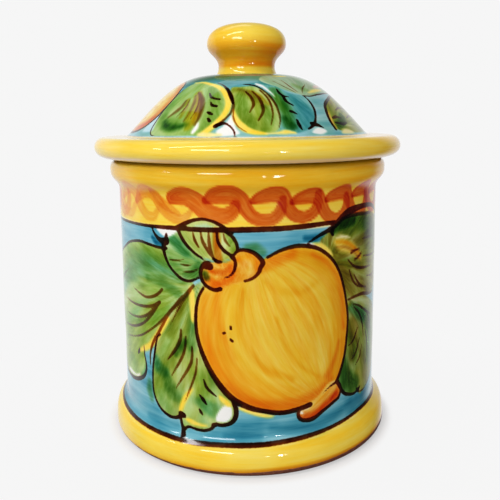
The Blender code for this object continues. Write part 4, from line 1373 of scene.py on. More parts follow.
class DomePainting:
    """Leaves, fruit and ground of the dome, and the yellow of the flange."""

    white_from: float = 116.7

    def __init__(self, canvas: Canvas) -> None:
        """Takes the lid's outside as the canvas."""
        self.canvas = canvas
        self.views = (canvas.seen_from(0.0), canvas.seen_from(180.0, sway=1.3, seed=9))

    def paint(self) -> None:
        """Paints the lid from the ground to the lines."""
        self.lay_ground()
        self.lay_flange()
        for view in self.views:
            for leaf in (DOME_UPPER_LEAF, DOME_FRUIT, DOME_LEFT_LEAF, DOME_AQUA_LEAF, DOME_MIDDLE_LEAF,
                         DOME_RIGHT_LEAF):
                leaf.paint(view)
            for sliver in DOME_SLIVERS:
                sliver.lay(view)
            for dab in DOME_RIMS:
                self.wipe(view, dab)
                dab.lay(view)
            for stroke in DOME_RED:
                stroke.draw(view, self.canvas.line)
            for stroke in DOME_BROWN:
                stroke.draw(view, self.canvas.vein)

    def wipe(self, view: View, dab: Dab) -> None:
        """Clears the surface under a dab."""
        index, edge, _ = Stroke(dab.marks, dab.widths).spread(view, dab.soft)
        self.canvas.wash[index] *= (1 - within_edge(edge, dab.soft))[:, None]

    def lay_ground(self) -> None:
        """Aqua on the slope, greener and thinner towards the crown."""
        canvas = self.canvas
        rise = canvas.chart[:, 1]
        streak = streaks(canvas.place, 51, 12, 2.0)
        patch = noise(canvas.place / 9.0, 52)
        slope = smooth_step((rise - 0.1) / 0.8)
        crown = smooth_step((rise - 29.0) / 6.0)
        upper = smooth_step((rise - 22.0) / 6.0)
        aqua = slope * (0.34 + 0.6 * streak + 0.25 * upper) * (1 - 0.25 * crown)
        canvas.coat(Paint.AQUA, aqua)
        # Near the crown the green and olive are partly the ground's own colour and partly painted shade
        # round the knob's foot.
        green = slope * (0.30 * np.clip(patch - 0.35, 0, 1) + 0.4 * crown * (0.4 + 0.8 * streak))
        canvas.coat(Paint.LEAF, green)
        canvas.coat(Paint.BLUE_GREEN, slope * upper * (0.2 + 0.7 * patch) * (0.5 + 0.7 * streak))
        canvas.coat(Paint.OLIVE, slope * crown * np.clip(patch - 0.3, 0, 1) * 0.6)

    def lay_flange(self) -> None:
        """Yellow ledge and round edge, with a white strip low on the edge, a thin line at the dome and
        painted shade.
        """
        canvas = self.canvas
        rise = canvas.chart[:, 1]
        around = canvas.place * np.array((1 / 26, 1 / 26, 0.0))
        streak = streaks(canvas.place, 53, 30, 1.6)
        stop = self.white_from + 0.35 * (noise(around, 54) - 0.5)
        below = smooth_step((0.2 - rise) / 0.8)
        flange = below * smooth_step((canvas.place[:, 2] - stop) / 0.5 + 0.5)
        cream = below - flange
        canvas.coat(Paint.YELLOW, cream * 0.2 + flange * (0.54 + 0.34 * streak))
        canvas.coat(Paint.TERRACOTTA, cream * 0.16)
        # Painted shade: a faint dark wash over the ledge next to the dome.
        canvas.coat(Paint.LINE, flange * smooth_step((rise + 8.0) / 3.0) * 0.045)
        # Painted shade: ochre deepens towards the flange's left and right ends, most on the right.
        turn = np.radians(canvas.chart[:, 0])
        side_shade = (0.5 - 0.5 * np.cos(turn * 2.0)) * (1.0 + 0.6 * np.sin(turn))
        canvas.coat(Paint.OCHRE, flange * (0.10 * streak + 0.20 * side_shade))
        # A thin dark line where the dome meets the ledge, partly a painted line and partly painted shade in
        # that corner.
        wander = 0.25 * (noise(around * 2.0, 55) - 0.5)
        thin = 0.5 + 0.5 * (noise(around * 3.0, 56) - 0.5)
        canvas.line = np.minimum(canvas.line, np.abs(rise - 0.45 - wander) - thin / 2)


# Shader

class Graph:
    """Short way to place and join shader nodes."""

    def __init__(self, tree: bpy.types.NodeTree) -> None:
        """Works on one node tree."""
        self.tree = tree

    def add(self, kind: str, **settings: object) -> bpy.types.Node:
        """Places a node and sets its properties."""
        node = self.tree.nodes.new(kind)
        for name, value in settings.items():
            setattr(node, name, value)
        return node

    def join(self, source: object, target: Socket) -> None:
        """Feeds a socket from another socket, or sets it to a plain value."""
        if isinstance(source, Socket):
            self.tree.links.new(source, target)
        else:
            target.default_value = source

    def result(self, kind: str, *values: object, **settings: object) -> Socket:
        """Places a node, feeds its first sockets and gives its first output."""
        node = self.add(kind, **settings)
        for socket, value in zip(node.inputs, values):
            self.join(value, socket)
        return node.outputs[0]

    def math(self, operation: str, *values: object) -> Socket:
        """Result of one arithmetic step on numbers."""
        return self.result("ShaderNodeMath", *values, operation=operation)

    def times(self, first: object, second: object) -> Socket:
        """Product of two numbers."""
        return self.math("MULTIPLY", first, second)

    def plus(self, first: object, second: object) -> Socket:
        """Sum of two numbers."""
        return self.math("ADD", first, second)

    def minus(self, first: object, second: object) -> Socket:
        """The first number less the second."""
        return self.math("SUBTRACT", first, second)

    def most(self, first: object, second: object) -> Socket:
        """The larger of two numbers."""
        return self.math("MAXIMUM", first, second)

    def vector(self, operation: str, first: object, second: object = (0.0, 0.0, 0.0),
               scale: object = 1.0) -> Socket:
        """Result of one arithmetic step on vectors."""
        node = self.add("ShaderNodeVectorMath", operation=operation)
        self.join(first, node.inputs[0])
        self.join(second, node.inputs[1])
        if operation == "SCALE":
            self.join(scale, node.inputs["Scale"])
        return node.outputs[0]

    def length(self, vector: object) -> Socket:
        """Length of a vector."""
        node = self.add("ShaderNodeVectorMath", operation="LENGTH")
        self.join(vector, node.inputs[0])
        return node.outputs["Value"]

    def split(self, vector: object) -> bpy.types.bpy_prop_collection:
        """Outputs X, Y and Z of a vector."""
        node = self.add("ShaderNodeSeparateXYZ")
        self.join(vector, node.inputs[0])
        return node.outputs

    def blend(self, share: object, first: object, second: object, kind: str = "RGBA") -> Socket:
        """Goes from a first colour to a second one with the share, or between numbers if kind is FLOAT."""
        node = self.add("ShaderNodeMix", data_type=kind)
        low, high, result = (6, 7, 2) if kind == "RGBA" else (2, 3, 0)
        for socket, value in (("Factor", share), (low, first), (high, second)):
            self.join(value, node.inputs[socket])
        return node.outputs[result]

    def noise(self, place: object, scale: float, detail: float = 2.0, roughness: float = 0.5) -> Socket:
        """Value of a noise texture at a place."""
        node = self.add("ShaderNodeTexNoise")
        self.join(place, node.inputs["Vector"])
        node.inputs["Scale"].default_value = scale
        node.inputs["Detail"].default_value = detail
        node.inputs["Roughness"].default_value = roughness
        return node.outputs["Fac"]

    def ramp(self, value: object, low: float, high: float, bottom: float = 0.0, top: float = 1.0) -> Socket:
        """Eases a value from bottom at low to top at high."""
        return self.result("ShaderNodeMapRange", value, low, high, bottom, top,
                           interpolation_type="SMOOTHSTEP")

    def group(self, tree: bpy.types.NodeTree, **values: object) -> bpy.types.bpy_prop_collection:
        """Places a node group, feeds its named sockets and gives its outputs."""
        node = self.add("ShaderNodeGroup", node_tree=tree)
        for name, value in values.items():
            self.join(value, node.inputs[name])
        return node.outputs

    def seen(self, paths: bpy.types.bpy_prop_collection) -> Socket:
        """1 on rays straight from the camera, off a gloss or through glass, and 0 on others."""
        direct = self.most(paths["Is Camera Ray"], paths["Is Glossy Ray"])
        return self.most(direct, paths["Is Transmission Ray"])

    def painted(self, name: str) -> Socket:
        """Vector that was painted on the vertices under a name."""
        return self.add("ShaderNodeAttribute", attribute_name=name).outputs["Vector"]


def new_group(name: str, inputs: dict[str, tuple[str, object]], outputs: dict[str, str]) -> tuple:
    """Starts a shader node group.

    Args:
        name: Name of the group.
        inputs: Socket type and plain value of each named input.
        outputs: Socket type of each named output.

    Returns:
        The group, its graph, the sockets of its inputs and the sockets of its outputs.
    """
    group = bpy.data.node_groups.new(name, "ShaderNodeTree")
    for label, (kind, value) in inputs.items():
        socket = group.interface.new_socket(label, in_out="INPUT", socket_type=kind)
        socket.default_value = value
    for label, kind in outputs.items():
        group.interface.new_socket(label, in_out="OUTPUT", socket_type=kind)
    graph = Graph(group)
    return group, graph, graph.add("NodeGroupInput").outputs, graph.add("NodeGroupOutput").inputs


def painted_glaze_group() -> bpy.types.NodeTree:
    """Group that turns pigment thickness into colour on white tin glaze.

    Returns:
        The group, with the outputs Colour, Relief and Pigment.
    """
    vector, number = ("NodeSocketVector", (0, 0, 0)), "NodeSocketFloat"
    group, graph, source, result = new_group(
        "painted tin glaze",
        {"Wash": vector, "Line": (number, FAR), "Vein": (number, FAR), "Brush": vector, "Place": vector,
         "Grain": (number, 0.5), "Wobble": (number, 0.3)},
        {"Colour": "NodeSocketColor", "Relief": number, "Pigment": number})
    place, brush = source["Place"], source["Brush"]
    streak = graph.plus(graph.times(graph.noise(brush, 1.9, 3.0, 0.6), 0.65),
                        graph.times(graph.noise(brush, 0.7), 0.35))
    swing = graph.times(graph.minus(streak, 0.5), source["Grain"])
    wash = graph.vector("SCALE", source["Wash"], scale=graph.plus(graph.times(swing, 2.0), 1.0))
    ragged = graph.times(graph.minus(graph.noise(place, 1100.0), 0.5), source["Wobble"])
    load = graph.ramp(graph.noise(place, 170.0), 0.3, 0.7, 0.74, 1.1)
    line = graph.times(graph.ramp(graph.plus(source["Line"], ragged), 0.04, -0.38, 0.0, 1.0), load)
    vein = graph.times(graph.ramp(graph.plus(source["Vein"], ragged), 0.08, -0.42, 0.0, 0.9), load)
    lines = graph.vector("SCALE", tuple(Paint.LINE.thickness), scale=line)
    veins = graph.vector("SCALE", tuple(Paint.BROWN.thickness), scale=vein)
    total = graph.vector("ADD", graph.vector("ADD", wash, lines), veins)
    tone = graph.ramp(graph.noise(place, 90.0, 3.0), 0.3, 0.7, 0.965, 1.0)
    channels = []
    for thickness, white in zip(graph.split(total), WHITE_GLAZE):
        clear = graph.math("EXPONENT", graph.times(thickness, -1.0))
        channels.append(graph.times(graph.times(clear, float(white)), tone))
    graph.join(graph.result("ShaderNodeCombineColor", *channels), result["Colour"])
    pigment = graph.ramp(graph.length(total), 0.0, 5.0)
    graph.join(pigment, result["Pigment"])
    graph.join(graph.plus(graph.times(pigment, 0.35), graph.times(streak, 0.12)), result["Relief"])
    return group


def bare_clay_group() -> bpy.types.NodeTree:
    """Group that shows bare red clay past an uneven glaze line.

    Returns:
        The group, with the outputs Bare, Clay and Relief.
    """
    number = "NodeSocketFloat"
    group, graph, source, result = new_group(
        "bare clay",
        {"Place": ("NodeSocketVector", (0, 0, 0)), "Glazed": (number, FAR), "Ragged": (number, 0.9)},
        {"Bare": number, "Clay": "NodeSocketColor", "Relief": number})
    place = source["Place"]
    wander = graph.times(graph.minus(graph.noise(place, 240.0, 3.0), 0.5), source["Ragged"])
    speck = graph.noise(place, 900.0, 4.0, 0.7)
    cloud = graph.noise(place, 70.0, 3.0)
    relief = graph.plus(graph.times(speck, 0.6), graph.times(cloud, 0.4))
    dark, pale = ((*linear(colour), 1.0) for colour in ((78, 34, 20), (122, 64, 42)))
    graph.join(graph.ramp(graph.plus(source["Glazed"], wander), 0.12, -0.12), result["Bare"])
    graph.join(graph.blend(graph.ramp(relief, 0.3, 0.7), dark, pale), result["Clay"])
    graph.join(relief, result["Relief"])
    return group


@dataclass(frozen=True)
class Glaze:
    """Painted tin glaze under a clear gloss, with bare clay past the glaze line."""

    name: str
    roughness: float = 0.05
    clay_roughness: float = 0.82
    grain: float = 0.68
    wobble: float = 0.26
    ripple: float = 0.00005

    def dress(self, piece: bpy.types.Object) -> None:
        """Gives the finish to a piece.

        Args:
            piece: The piece, with its painting on its vertices.
        """
        material = bpy.data.materials.new(self.name)
        material.use_nodes = True
        graph = Graph(material.node_tree)
        shader = material.node_tree.nodes["Principled BSDF"].inputs
        place = graph.add("ShaderNodeTexCoord").outputs["Object"]
        line, vein, glazed = graph.split(graph.painted("ink"))
        painted = graph.group(shared_group("painted tin glaze", painted_glaze_group), Place=place,
                              Wash=graph.painted("wash"), Line=line, Vein=vein,
                              Brush=graph.painted("brush"), Grain=self.grain, Wobble=self.wobble)
        clay = graph.group(shared_group("bare clay", bare_clay_group), Place=place, Glazed=glazed)
        bare = clay["Bare"]
        graph.join(graph.blend(bare, painted["Colour"], clay["Clay"]), shader["Base Color"])
        smear = graph.plus(graph.times(graph.noise(place, 120.0), 0.05), self.roughness - 0.025)
        gloss = graph.plus(graph.times(painted["Pigment"], 0.03), smear)
        graph.join(graph.blend(bare, gloss, self.clay_roughness, "FLOAT"), shader["Roughness"])
        surface = graph.plus(graph.times(graph.noise(place, 95.0, 1.0), 1.6),
                             graph.times(painted["Relief"], 0.35))
        dry = graph.times(graph.times(clay["Relief"], bare), 4.0)
        wet = graph.times(surface, graph.minus(1.0, bare))
        bump = graph.add("ShaderNodeBump")
        bump.inputs["Strength"].default_value = 1.0
        bump.inputs["Distance"].default_value = self.ripple
        graph.join(graph.plus(wet, dry), bump.inputs["Height"])
        graph.join(bump.outputs["Normal"], shader["Normal"])
        piece.data.materials.append(material)


def shared_group(name: str, build: Callable[[], bpy.types.NodeTree]) -> bpy.types.NodeTree:
    """A node group by name, built on first use."""
    return bpy.data.node_groups.get(name) or build()


def write_painting(piece: bpy.types.Object, part: np.ndarray, canvas: Canvas, glazed: np.ndarray) -> None:
    """Stores the painting on the vertices of a piece.

    Args:
        piece: The piece.
        part: The vertices that the canvas covers.
        canvas: The painted surface.
        glazed: For every vertex, millimetres from the glaze line, negative on bare clay.
    """
    count = len(piece.data.vertices)
    place = np.empty(count * 3, np.float32)
    piece.data.vertices.foreach_get("co", place)
    layers = {"wash": np.zeros((count, 3)), "ink": np.full((count, 3), FAR),
              "brush": place.reshape(-1, 3) / MM * LEVEL_HAIRS}
    layers["wash"][part] = canvas.wash
    for axis, layer in enumerate((canvas.line, canvas.vein)):
        layers["ink"][part, axis] = np.clip(layer, -LINE_LIMIT, LINE_LIMIT)
    layers["ink"][:, 2] = glazed
    layers["brush"][part] = canvas.brush
    for name, values in layers.items():
        layer = piece.data.attributes.new(name, "FLOAT_VECTOR", "POINT")
        layer.data.foreach_set("vector", values.astype(np.float32).ravel())


# Pieces of clay

def side_patch(low: float, height: float) -> Patch:
    """Rectangle at the right of the bake map, for the plainer parts of a piece."""
    return Patch(MAP_SPLIT, low, 1 - MAP_SPLIT, height)


@dataclass
class Jar:
    """Floor, wall, rolled rim and foot, all one piece of clay.

    A pair is a point of the outline, as (radius, height). rim and foot_ring are the inner and
    outer radius of a level ring.
    """

    height: float = 114.8
    floor: Pair = (43.6, 9.5)
    inside_foot: Pair = (49.6, 15.5)
    mouth: Pair = (48.5, 113.0)
    rim: Pair = (50.3, 53.1)
    belly: Pair = (57.3, 111.0)
    belly_low: Pair = (57.3, 109.9)
    neck: Pair = (54.0, 102.5)
    wall_low: Pair = (55.0, 22.0)
    wall_foot: Pair = (55.1, 15.6)
    cove_low: float = 13.4
    roll_edge: Pair = (58.4, 10.4)
    roll_slope: float = 46.0
    roll_shoulder: float = 6.9
    roll_belly: Pair = (60.1, 3.2)
    roll_low: float = 2.6
    foot_ring: Pair = (50.4, 56.4)
    recess: Pair = (49.6, 2.5)
    groove_depth: float = 0.16
    groove_pitch: float = 7.4
    yellow_from: float = 50.6
    glaze_stop: float = 2.8
    recess_glaze: float = 47.0
    columns: int = 560
    spacing: float = 0.69
    finish: Glaze = Glaze("jar painted glaze")

    def bands(self) -> list[Band]:
        """Outline of the jar from the middle of the floor, over the rim, to the middle of the underside."""
        coarse = self.columns // 4
        lean = math.radians(self.roll_slope)
        slope = np.array((-math.cos(lean), math.sin(lean)))
        edge, widest = np.array(self.roll_edge), self.roll_belly[0]
        cove = bezier(self.wall_foot, (self.wall_foot[0], self.cove_low), tuple(edge + slope * 2.6),
                      self.roll_edge, 60)
        roll = bezier(self.roll_edge, tuple(edge - slope * 1.5), (widest, self.roll_shoulder),
                      self.roll_belly, 8)
        inner, outer = self.rim
        ring_in, ring_out = self.foot_ring
        floor_corner = (self.inside_foot[0], self.floor[1])
        floor = chain(straight((0.0, self.floor[1]), self.floor, 6),
                      quarter_round(floor_corner, self.floor, self.inside_foot, 8))
        crest = chain(quarter_round((self.mouth[0], self.height), self.mouth, (inner, self.height), 6),
                      straight((inner, self.height), (outer, self.height), 2),
                      quarter_round((self.belly[0], self.height), (outer, self.height), self.belly, 10))
        outside = chain(straight(self.belly, self.belly_low, 1), ogee(self.belly_low, self.neck, 40, 0.48),
                        straight(self.neck, self.wall_low, 2), straight(self.wall_low, self.wall_foot, 2),
                        cove)
        base = chain(roll, straight(self.roll_belly, (widest, self.roll_low), 1),
                     quarter_round((widest, 0.0), (widest, self.roll_low), (ring_out, 0.0), 8))
        under = chain(straight((ring_out, 0.0), (ring_in, 0.0), 3), straight((ring_in, 0.0), self.recess, 2),
                      straight(self.recess, (0.0, self.recess[1]), 4))
        inside = straight(self.inside_foot, self.mouth, 40)
        wall = Patch(0.0, 0.0, MAP_SPLIT, 0.96, 2)
        return [Band("floor", floor, coarse, side_patch(0.0, 0.16)),
                Band("inside", inside, coarse, side_patch(0.16, 0.34)),
                Band("crest", crest, coarse, side_patch(0.50, 0.14)),
                Band("outside", even(outside, self.spacing), self.columns, wall),
                Band("base", base, coarse, side_patch(0.64, 0.20)),
                Band("underside", under, coarse, side_patch(0.84, 0.16))]

    def build(self) -> bpy.types.Object:
        """Turns, paints and glazes the jar.

        Returns:
            The finished piece.
        """
        turning = Turning("jar", self.bands())
        inside = turning.band == 1
        turns = turning.height * math.tau / self.groove_pitch
        groove = self.groove_depth * np.sin(turns + turning.angle) * inside
        fade = smooth_step((turning.height - self.inside_foot[1]) / 8)
        fade *= smooth_step((111.0 - turning.height) / 8)
        turning.radius += groove * fade
        turning.hand(depth=0.22, size=30.0, seed=3,
                     held=lambda z: smooth_step((z - 1.0) / 4.0) * smooth_step((114.0 - z) / 3.0))
        piece = turning.mesh()
        painted = np.flatnonzero((turning.band >= 2) & (turning.band <= 4))
        canvas = wall_canvas(turning, painted)
        Maiolica(canvas).paint()
        self.stop_at_crest(canvas, turning, painted)
        write_painting(piece, painted, canvas, self.glaze_line(turning))
        self.finish.dress(piece)
        return piece

    def stop_at_crest(self, canvas: Canvas, turning: Turning, painted: np.ndarray) -> None:
        """Ends the rim's yellow in an uneven edge over the mouth."""
        wander = 1.2 * (noise(turning.place[painted] / 6.0, 61) - 0.5)
        reach = turning.radius[painted] - self.yellow_from + wander
        keep = np.where(turning.height[painted] > 109.0, smooth_step(reach / 1.2 + 0.5), 1.0)
        canvas.wash *= keep[:, None]

    def glaze_line(self, turning: Turning) -> np.ndarray:
        """Distance of every vertex from the line where the glaze was wiped off the foot."""
        stop = self.glaze_stop + 0.8 * np.sin(turning.angle - 0.1)
        stop += 0.4 * (noise(turning.place / 9.0, 62) - 0.5)
        foot = np.where(turning.radius > 56.0, turning.height - stop, BARE)
        recess = self.recess_glaze - turning.radius
        under = np.where(turning.band == 5, np.where(recess > 0.0, recess, BARE), foot)
        return np.where(turning.band >= 4, np.clip(under, BARE, FAR), FAR)


def wall_canvas(turning: Turning, part: np.ndarray, radius: float = WALL_RADIUS) -> Canvas:
    """Canvas of an upright turned surface.

    Args:
        turning: The turned piece.
        part: Its vertices that are painted.
        radius: Radius at which distances round the piece are measured.

    Returns:
        The bare canvas.
    """
    angle = (turning.angle[part] + math.pi) % math.tau - math.pi
    chart = np.stack([angle * radius, turning.height[part]], axis=1)

    def lift(places: np.ndarray) -> np.ndarray:
        """Points in space of places on the wall."""
        return round_axis(radius, places[:, 0] / radius, places[:, 1])

    return Canvas(chart, lift, math.tau * radius, (1.0, 1.0))


@dataclass
class Lid:
    """Dome, round-edged flange and collar, all one piece of clay.

    A pair is a point of the outline, as (radius, height), but bare_seat holds the inner and outer
    radius of the ring under the flange that is left bare.
    """

    crown: Pair = (13.1, 147.3)
    crown_reach: float = 27.4
    dome_foot: Pair = (50.6, 124.0)
    dome_reach: float = 24.0
    ledge: Pair = (50.0, 123.2)
    ledge_edge: Pair = (58.9, 123.2)
    belly: Pair = (63.1, 119.1)
    seat: Pair = (58.0, 115.1)
    collar: Pair = (47.2, 106.1)
    collar_inside: float = 42.7
    collar_round: float = 1.4
    bare_seat: Pair = (48.6, 57.4)
    bare_collar: float = 106.9
    columns: int = 560
    spacing: float = 0.47
    thickness: float = 5.0
    fillet: float = 1.6
    finish: Glaze = Glaze("lid painted glaze")

    def dome(self, count: int) -> np.ndarray:
        """Outer curve of the dome, from the crown down to the ledge."""
        reach = self.dome_reach * math.sqrt(0.5)
        aim = (self.dome_foot[0] - reach, self.dome_foot[1] + reach)
        return bezier(self.crown, (self.crown_reach, self.crown[1]), aim, self.ledge, count)

    def bands(self) -> list[Band]:
        """Outline of the lid from the crown, round flange and collar, to the middle of the hollow."""
        coarse = self.columns // 4
        dome = self.dome(120)
        run = arc_length(dome)
        dome = dome[run <= run[-1] - self.fillet]
        outwards = np.array(self.ledge_edge) - np.array(self.ledge)
        outwards = outwards / np.linalg.norm(outwards)
        landing = np.array(self.ledge) + outwards * self.fillet
        slope = chain(dome, quarter_round(self.ledge, tuple(dome[-1]), tuple(landing), 5, 0.6))
        flange = chain(straight(tuple(landing), self.ledge_edge, 7),
                       quarter_round((self.belly[0], self.ledge[1]), self.ledge_edge, self.belly, 10),
                       quarter_round((self.belly[0], self.seat[1]), self.belly, self.seat, 10))
        outer, low = self.collar
        inner, bend = self.collar_inside, self.collar_round
        collar = chain(straight(self.seat, (outer, self.seat[1]), 4),
                       straight((outer, self.seat[1]), (outer, low + bend), 3),
                       quarter_round((outer, low), (outer, low + bend), (outer - bend, low), 5),
                       straight((outer - bend, low), (inner + bend, low), 1),
                       quarter_round((inner, low), (inner + bend, low), (inner, low + bend), 5))
        crown = straight((0.0, self.crown[1]), self.crown, 2)
        return [Band("crown", crown, coarse, side_patch(0.0, 0.12)),
                Band("dome", even(slope, self.spacing), self.columns, Patch(0.0, 0.0, MAP_SPLIT, 0.97, 3)),
                Band("flange", flange, self.columns // 2, side_patch(0.12, 0.34)),
                Band("collar", collar, coarse, side_patch(0.46, 0.24)),
                Band("hollow", self.inner_curve(), coarse, side_patch(0.70, 0.30))]

    def inner_curve(self) -> np.ndarray:
        """Inside of the lid from the collar up to the middle, one wall thickness under the dome."""
        dome = self.dome(24)[::-1]
        along = np.gradient(dome, axis=0)
        along /= np.linalg.norm(along, axis=1)[:, None]
        under = dome + np.stack([-along[:, 1], along[:, 0]], axis=1) * self.thickness
        inner, low = self.collar_inside, self.collar[1] + self.collar_round
        wall = straight((inner, low), (inner, np.interp(inner, under[::-1, 0], under[::-1, 1])), 4)
        middle = (0.0, self.crown[1] - self.thickness)
        return np.concatenate([wall, under[under[:, 0] < inner - 0.7], [middle]])

    def build(self) -> bpy.types.Object:
        """Turns, paints and glazes the lid.

        Returns:
            The finished piece.
        """
        turning = Turning("lid_shell", self.bands())
        turning.hand(depth=0.20, size=26.0, seed=8,
                     held=lambda z: smooth_step((z - 116.0) / 2.0) * smooth_step((146.6 - z) / 2.0))
        piece = turning.mesh()
        painted = np.flatnonzero(turning.band <= 2)
        foot = turning.run[turning.band == 1].max() - self.fillet
        canvas = self.canvas(turning, painted, foot)
        DomePainting(canvas).paint()
        write_painting(piece, painted, canvas, self.glaze_line(turning))
        self.finish.dress(piece)
        return piece

    def canvas(self, turning: Turning, part: np.ndarray, foot: float) -> Canvas:
        """Canvas of the lid's outside.

        Args:
            turning: The turned lid.
            part: Its vertices that are painted.
            foot: Distance along the outline from the middle of the crown to the ledge.

        Returns:
            The bare canvas, with heights measured up the slope from the ledge.
        """
        angle = (np.degrees(turning.angle[part]) + 180.0) % 360.0 - 180.0
        rise = foot - turning.run[part]
        order = np.argsort(rise)
        known, radius, height = rise[order], turning.radius[part][order], turning.height[part][order]
        known, first = np.unique(np.round(known, 4), return_index=True)
        radius, height = radius[first], height[first]

        def lift(places: np.ndarray) -> np.ndarray:
            """Points in space of places on the lid."""
            rise = places[:, 1]
            return round_axis(np.interp(rise, known, radius), np.radians(places[:, 0]),
                              np.interp(rise, known, height))

        return Canvas(np.stack([angle, rise], axis=1), lift, 360.0, (1.9, 1.0))

    def glaze_line(self, turning: Turning) -> np.ndarray:
        """Distance of every vertex from the glaze lines on the collar's lower edge and under the flange."""
        inner, outer = self.bare_seat
        collar = np.where(turning.band == 3, turning.height - self.bare_collar, FAR)
        wander = 0.6 * (noise(turning.place / 7.0, 63) - 0.5)
        under = (turning.height < self.seat[1] + 0.4) & (turning.radius >= inner)
        seat = np.where(under, turning.radius - outer + wander, FAR)
        low = (turning.band == 2) | (turning.band == 3)
        return np.where(low, np.clip(np.minimum(collar, seat), BARE, FAR), FAR)


@dataclass
class Knob:
    """Round knob, thrown by itself and smoothed onto the crown with slip.

    A pair is a point of the outline, as (radius, height).
    """

    top: float = 167.8
    belly: Pair = (16.3, 159.5)
    neck: Pair = (11.7, 150.9)
    slip_edge: Pair = (13.0, 147.0)
    middle: float = 146.6
    radius: float = 13.0
    columns: int = 144
    finish: Glaze = Glaze("knob yellow glaze", grain=0.5)

    def bands(self) -> list[Band]:
        """Outline of the knob from its top to the slip round its foot."""
        head = quarter_round((self.belly[0], self.top), (0.0, self.top), self.belly, 26, 0.66)
        slip = bezier(self.neck, (self.neck[0], 149.6), (11.8, 148.4), self.slip_edge, 10)
        neck = chain(ogee(self.belly, self.neck, 22, 0.46), slip)
        under = straight(self.slip_edge, (0.0, self.middle), 3)
        return [Band("head", head, self.columns, Patch(0.0, 0.0, 1.0, 0.46)),
                Band("neck", neck, self.columns, Patch(0.0, 0.46, 1.0, 0.44)),
                Band("under", under, self.columns, Patch(0.0, 0.90, 1.0, 0.10))]

    def build(self) -> bpy.types.Object:
        """Turns, paints and glazes the knob.

        Returns:
            The finished piece.
        """
        turning = Turning("knob", self.bands())
        turning.hand(depth=0.14, size=14.0, seed=15, held=lambda z: smooth_step((z - 148.0) / 3.0))
        piece = turning.mesh()
        painted = np.flatnonzero(turning.band <= 1)
        canvas = wall_canvas(turning, painted, self.radius)
        self.paint(canvas, turning.run[painted])
        write_painting(piece, painted, canvas, np.full(len(turning.radius), FAR))
        self.finish.dress(piece)
        return piece

    def paint(self, canvas: Canvas, run: np.ndarray) -> None:
        """Yellow all over, with painted shade under the head, deeper on the right, bright round the foot.

        Args:
            canvas: The knob's outside.
            run: Distance of each vertex from the top of the knob.
        """
        height = canvas.chart[:, 1]
        turn = canvas.chart[:, 0] / self.radius
        streak = streaks(canvas.place, 71, 12, 1.4)
        patch = noise(canvas.place / 9.0, 72)
        canvas.coat(Paint.YELLOW, 0.66 + 0.32 * streak)
        # Painted shade: under is the shaded underside of the head, and shade grows towards the right, away
        # from the lamps.
        under = smooth_step((162.5 - height) / 6.0) * smooth_step((height - 149.4) / 1.8)
        shade = 0.25 + 0.3 * smooth_step(0.5 + 0.5 * np.sin(turn))
        ochre = np.clip(0.16 + 1.1 * under * shade + 0.3 * (patch - 0.5), 0.0, 1.2)
        canvas.coat(Paint.OCHRE, ochre * 0.8)
        canvas.coat(Paint.ORANGE, under * shade * 0.8 * streak)
        canvas.wash *= (0.96 + 0.08 * noise(np.stack([run, run * 0, run * 0], axis=1), 73))[:, None]


# Studio

@dataclass(frozen=True)
class Softbox:
    """A flat lamp that faces the jar."""

    name: str
    azimuth: float
    elevation: float
    distance: float
    size: Pair
    power: float
    roll: float = 0.0

    def place(self, target: Vector) -> None:
        """Hangs the lamp.

        Args:
            target: Point that it faces.
        """
        light = bpy.data.lights.new(self.name, "AREA")
        light.shape = "RECTANGLE"
        light.size, light.size_y = self.size
        light.energy = self.power
        lamp = bpy.data.objects.new(self.name, light)
        turn, rise = math.radians(self.azimuth), math.radians(self.elevation)
        away = Vector((math.sin(turn) * math.cos(rise), -math.cos(turn) * math.cos(rise), math.sin(rise)))
        lamp.location = target + away * self.distance
        facing = away.to_track_quat("Z", "Y").to_matrix() @ Matrix.Rotation(math.radians(self.roll), 3, "Z")
        lamp.rotation_euler = facing.to_euler()
        bpy.context.scene.collection.objects.link(lamp)


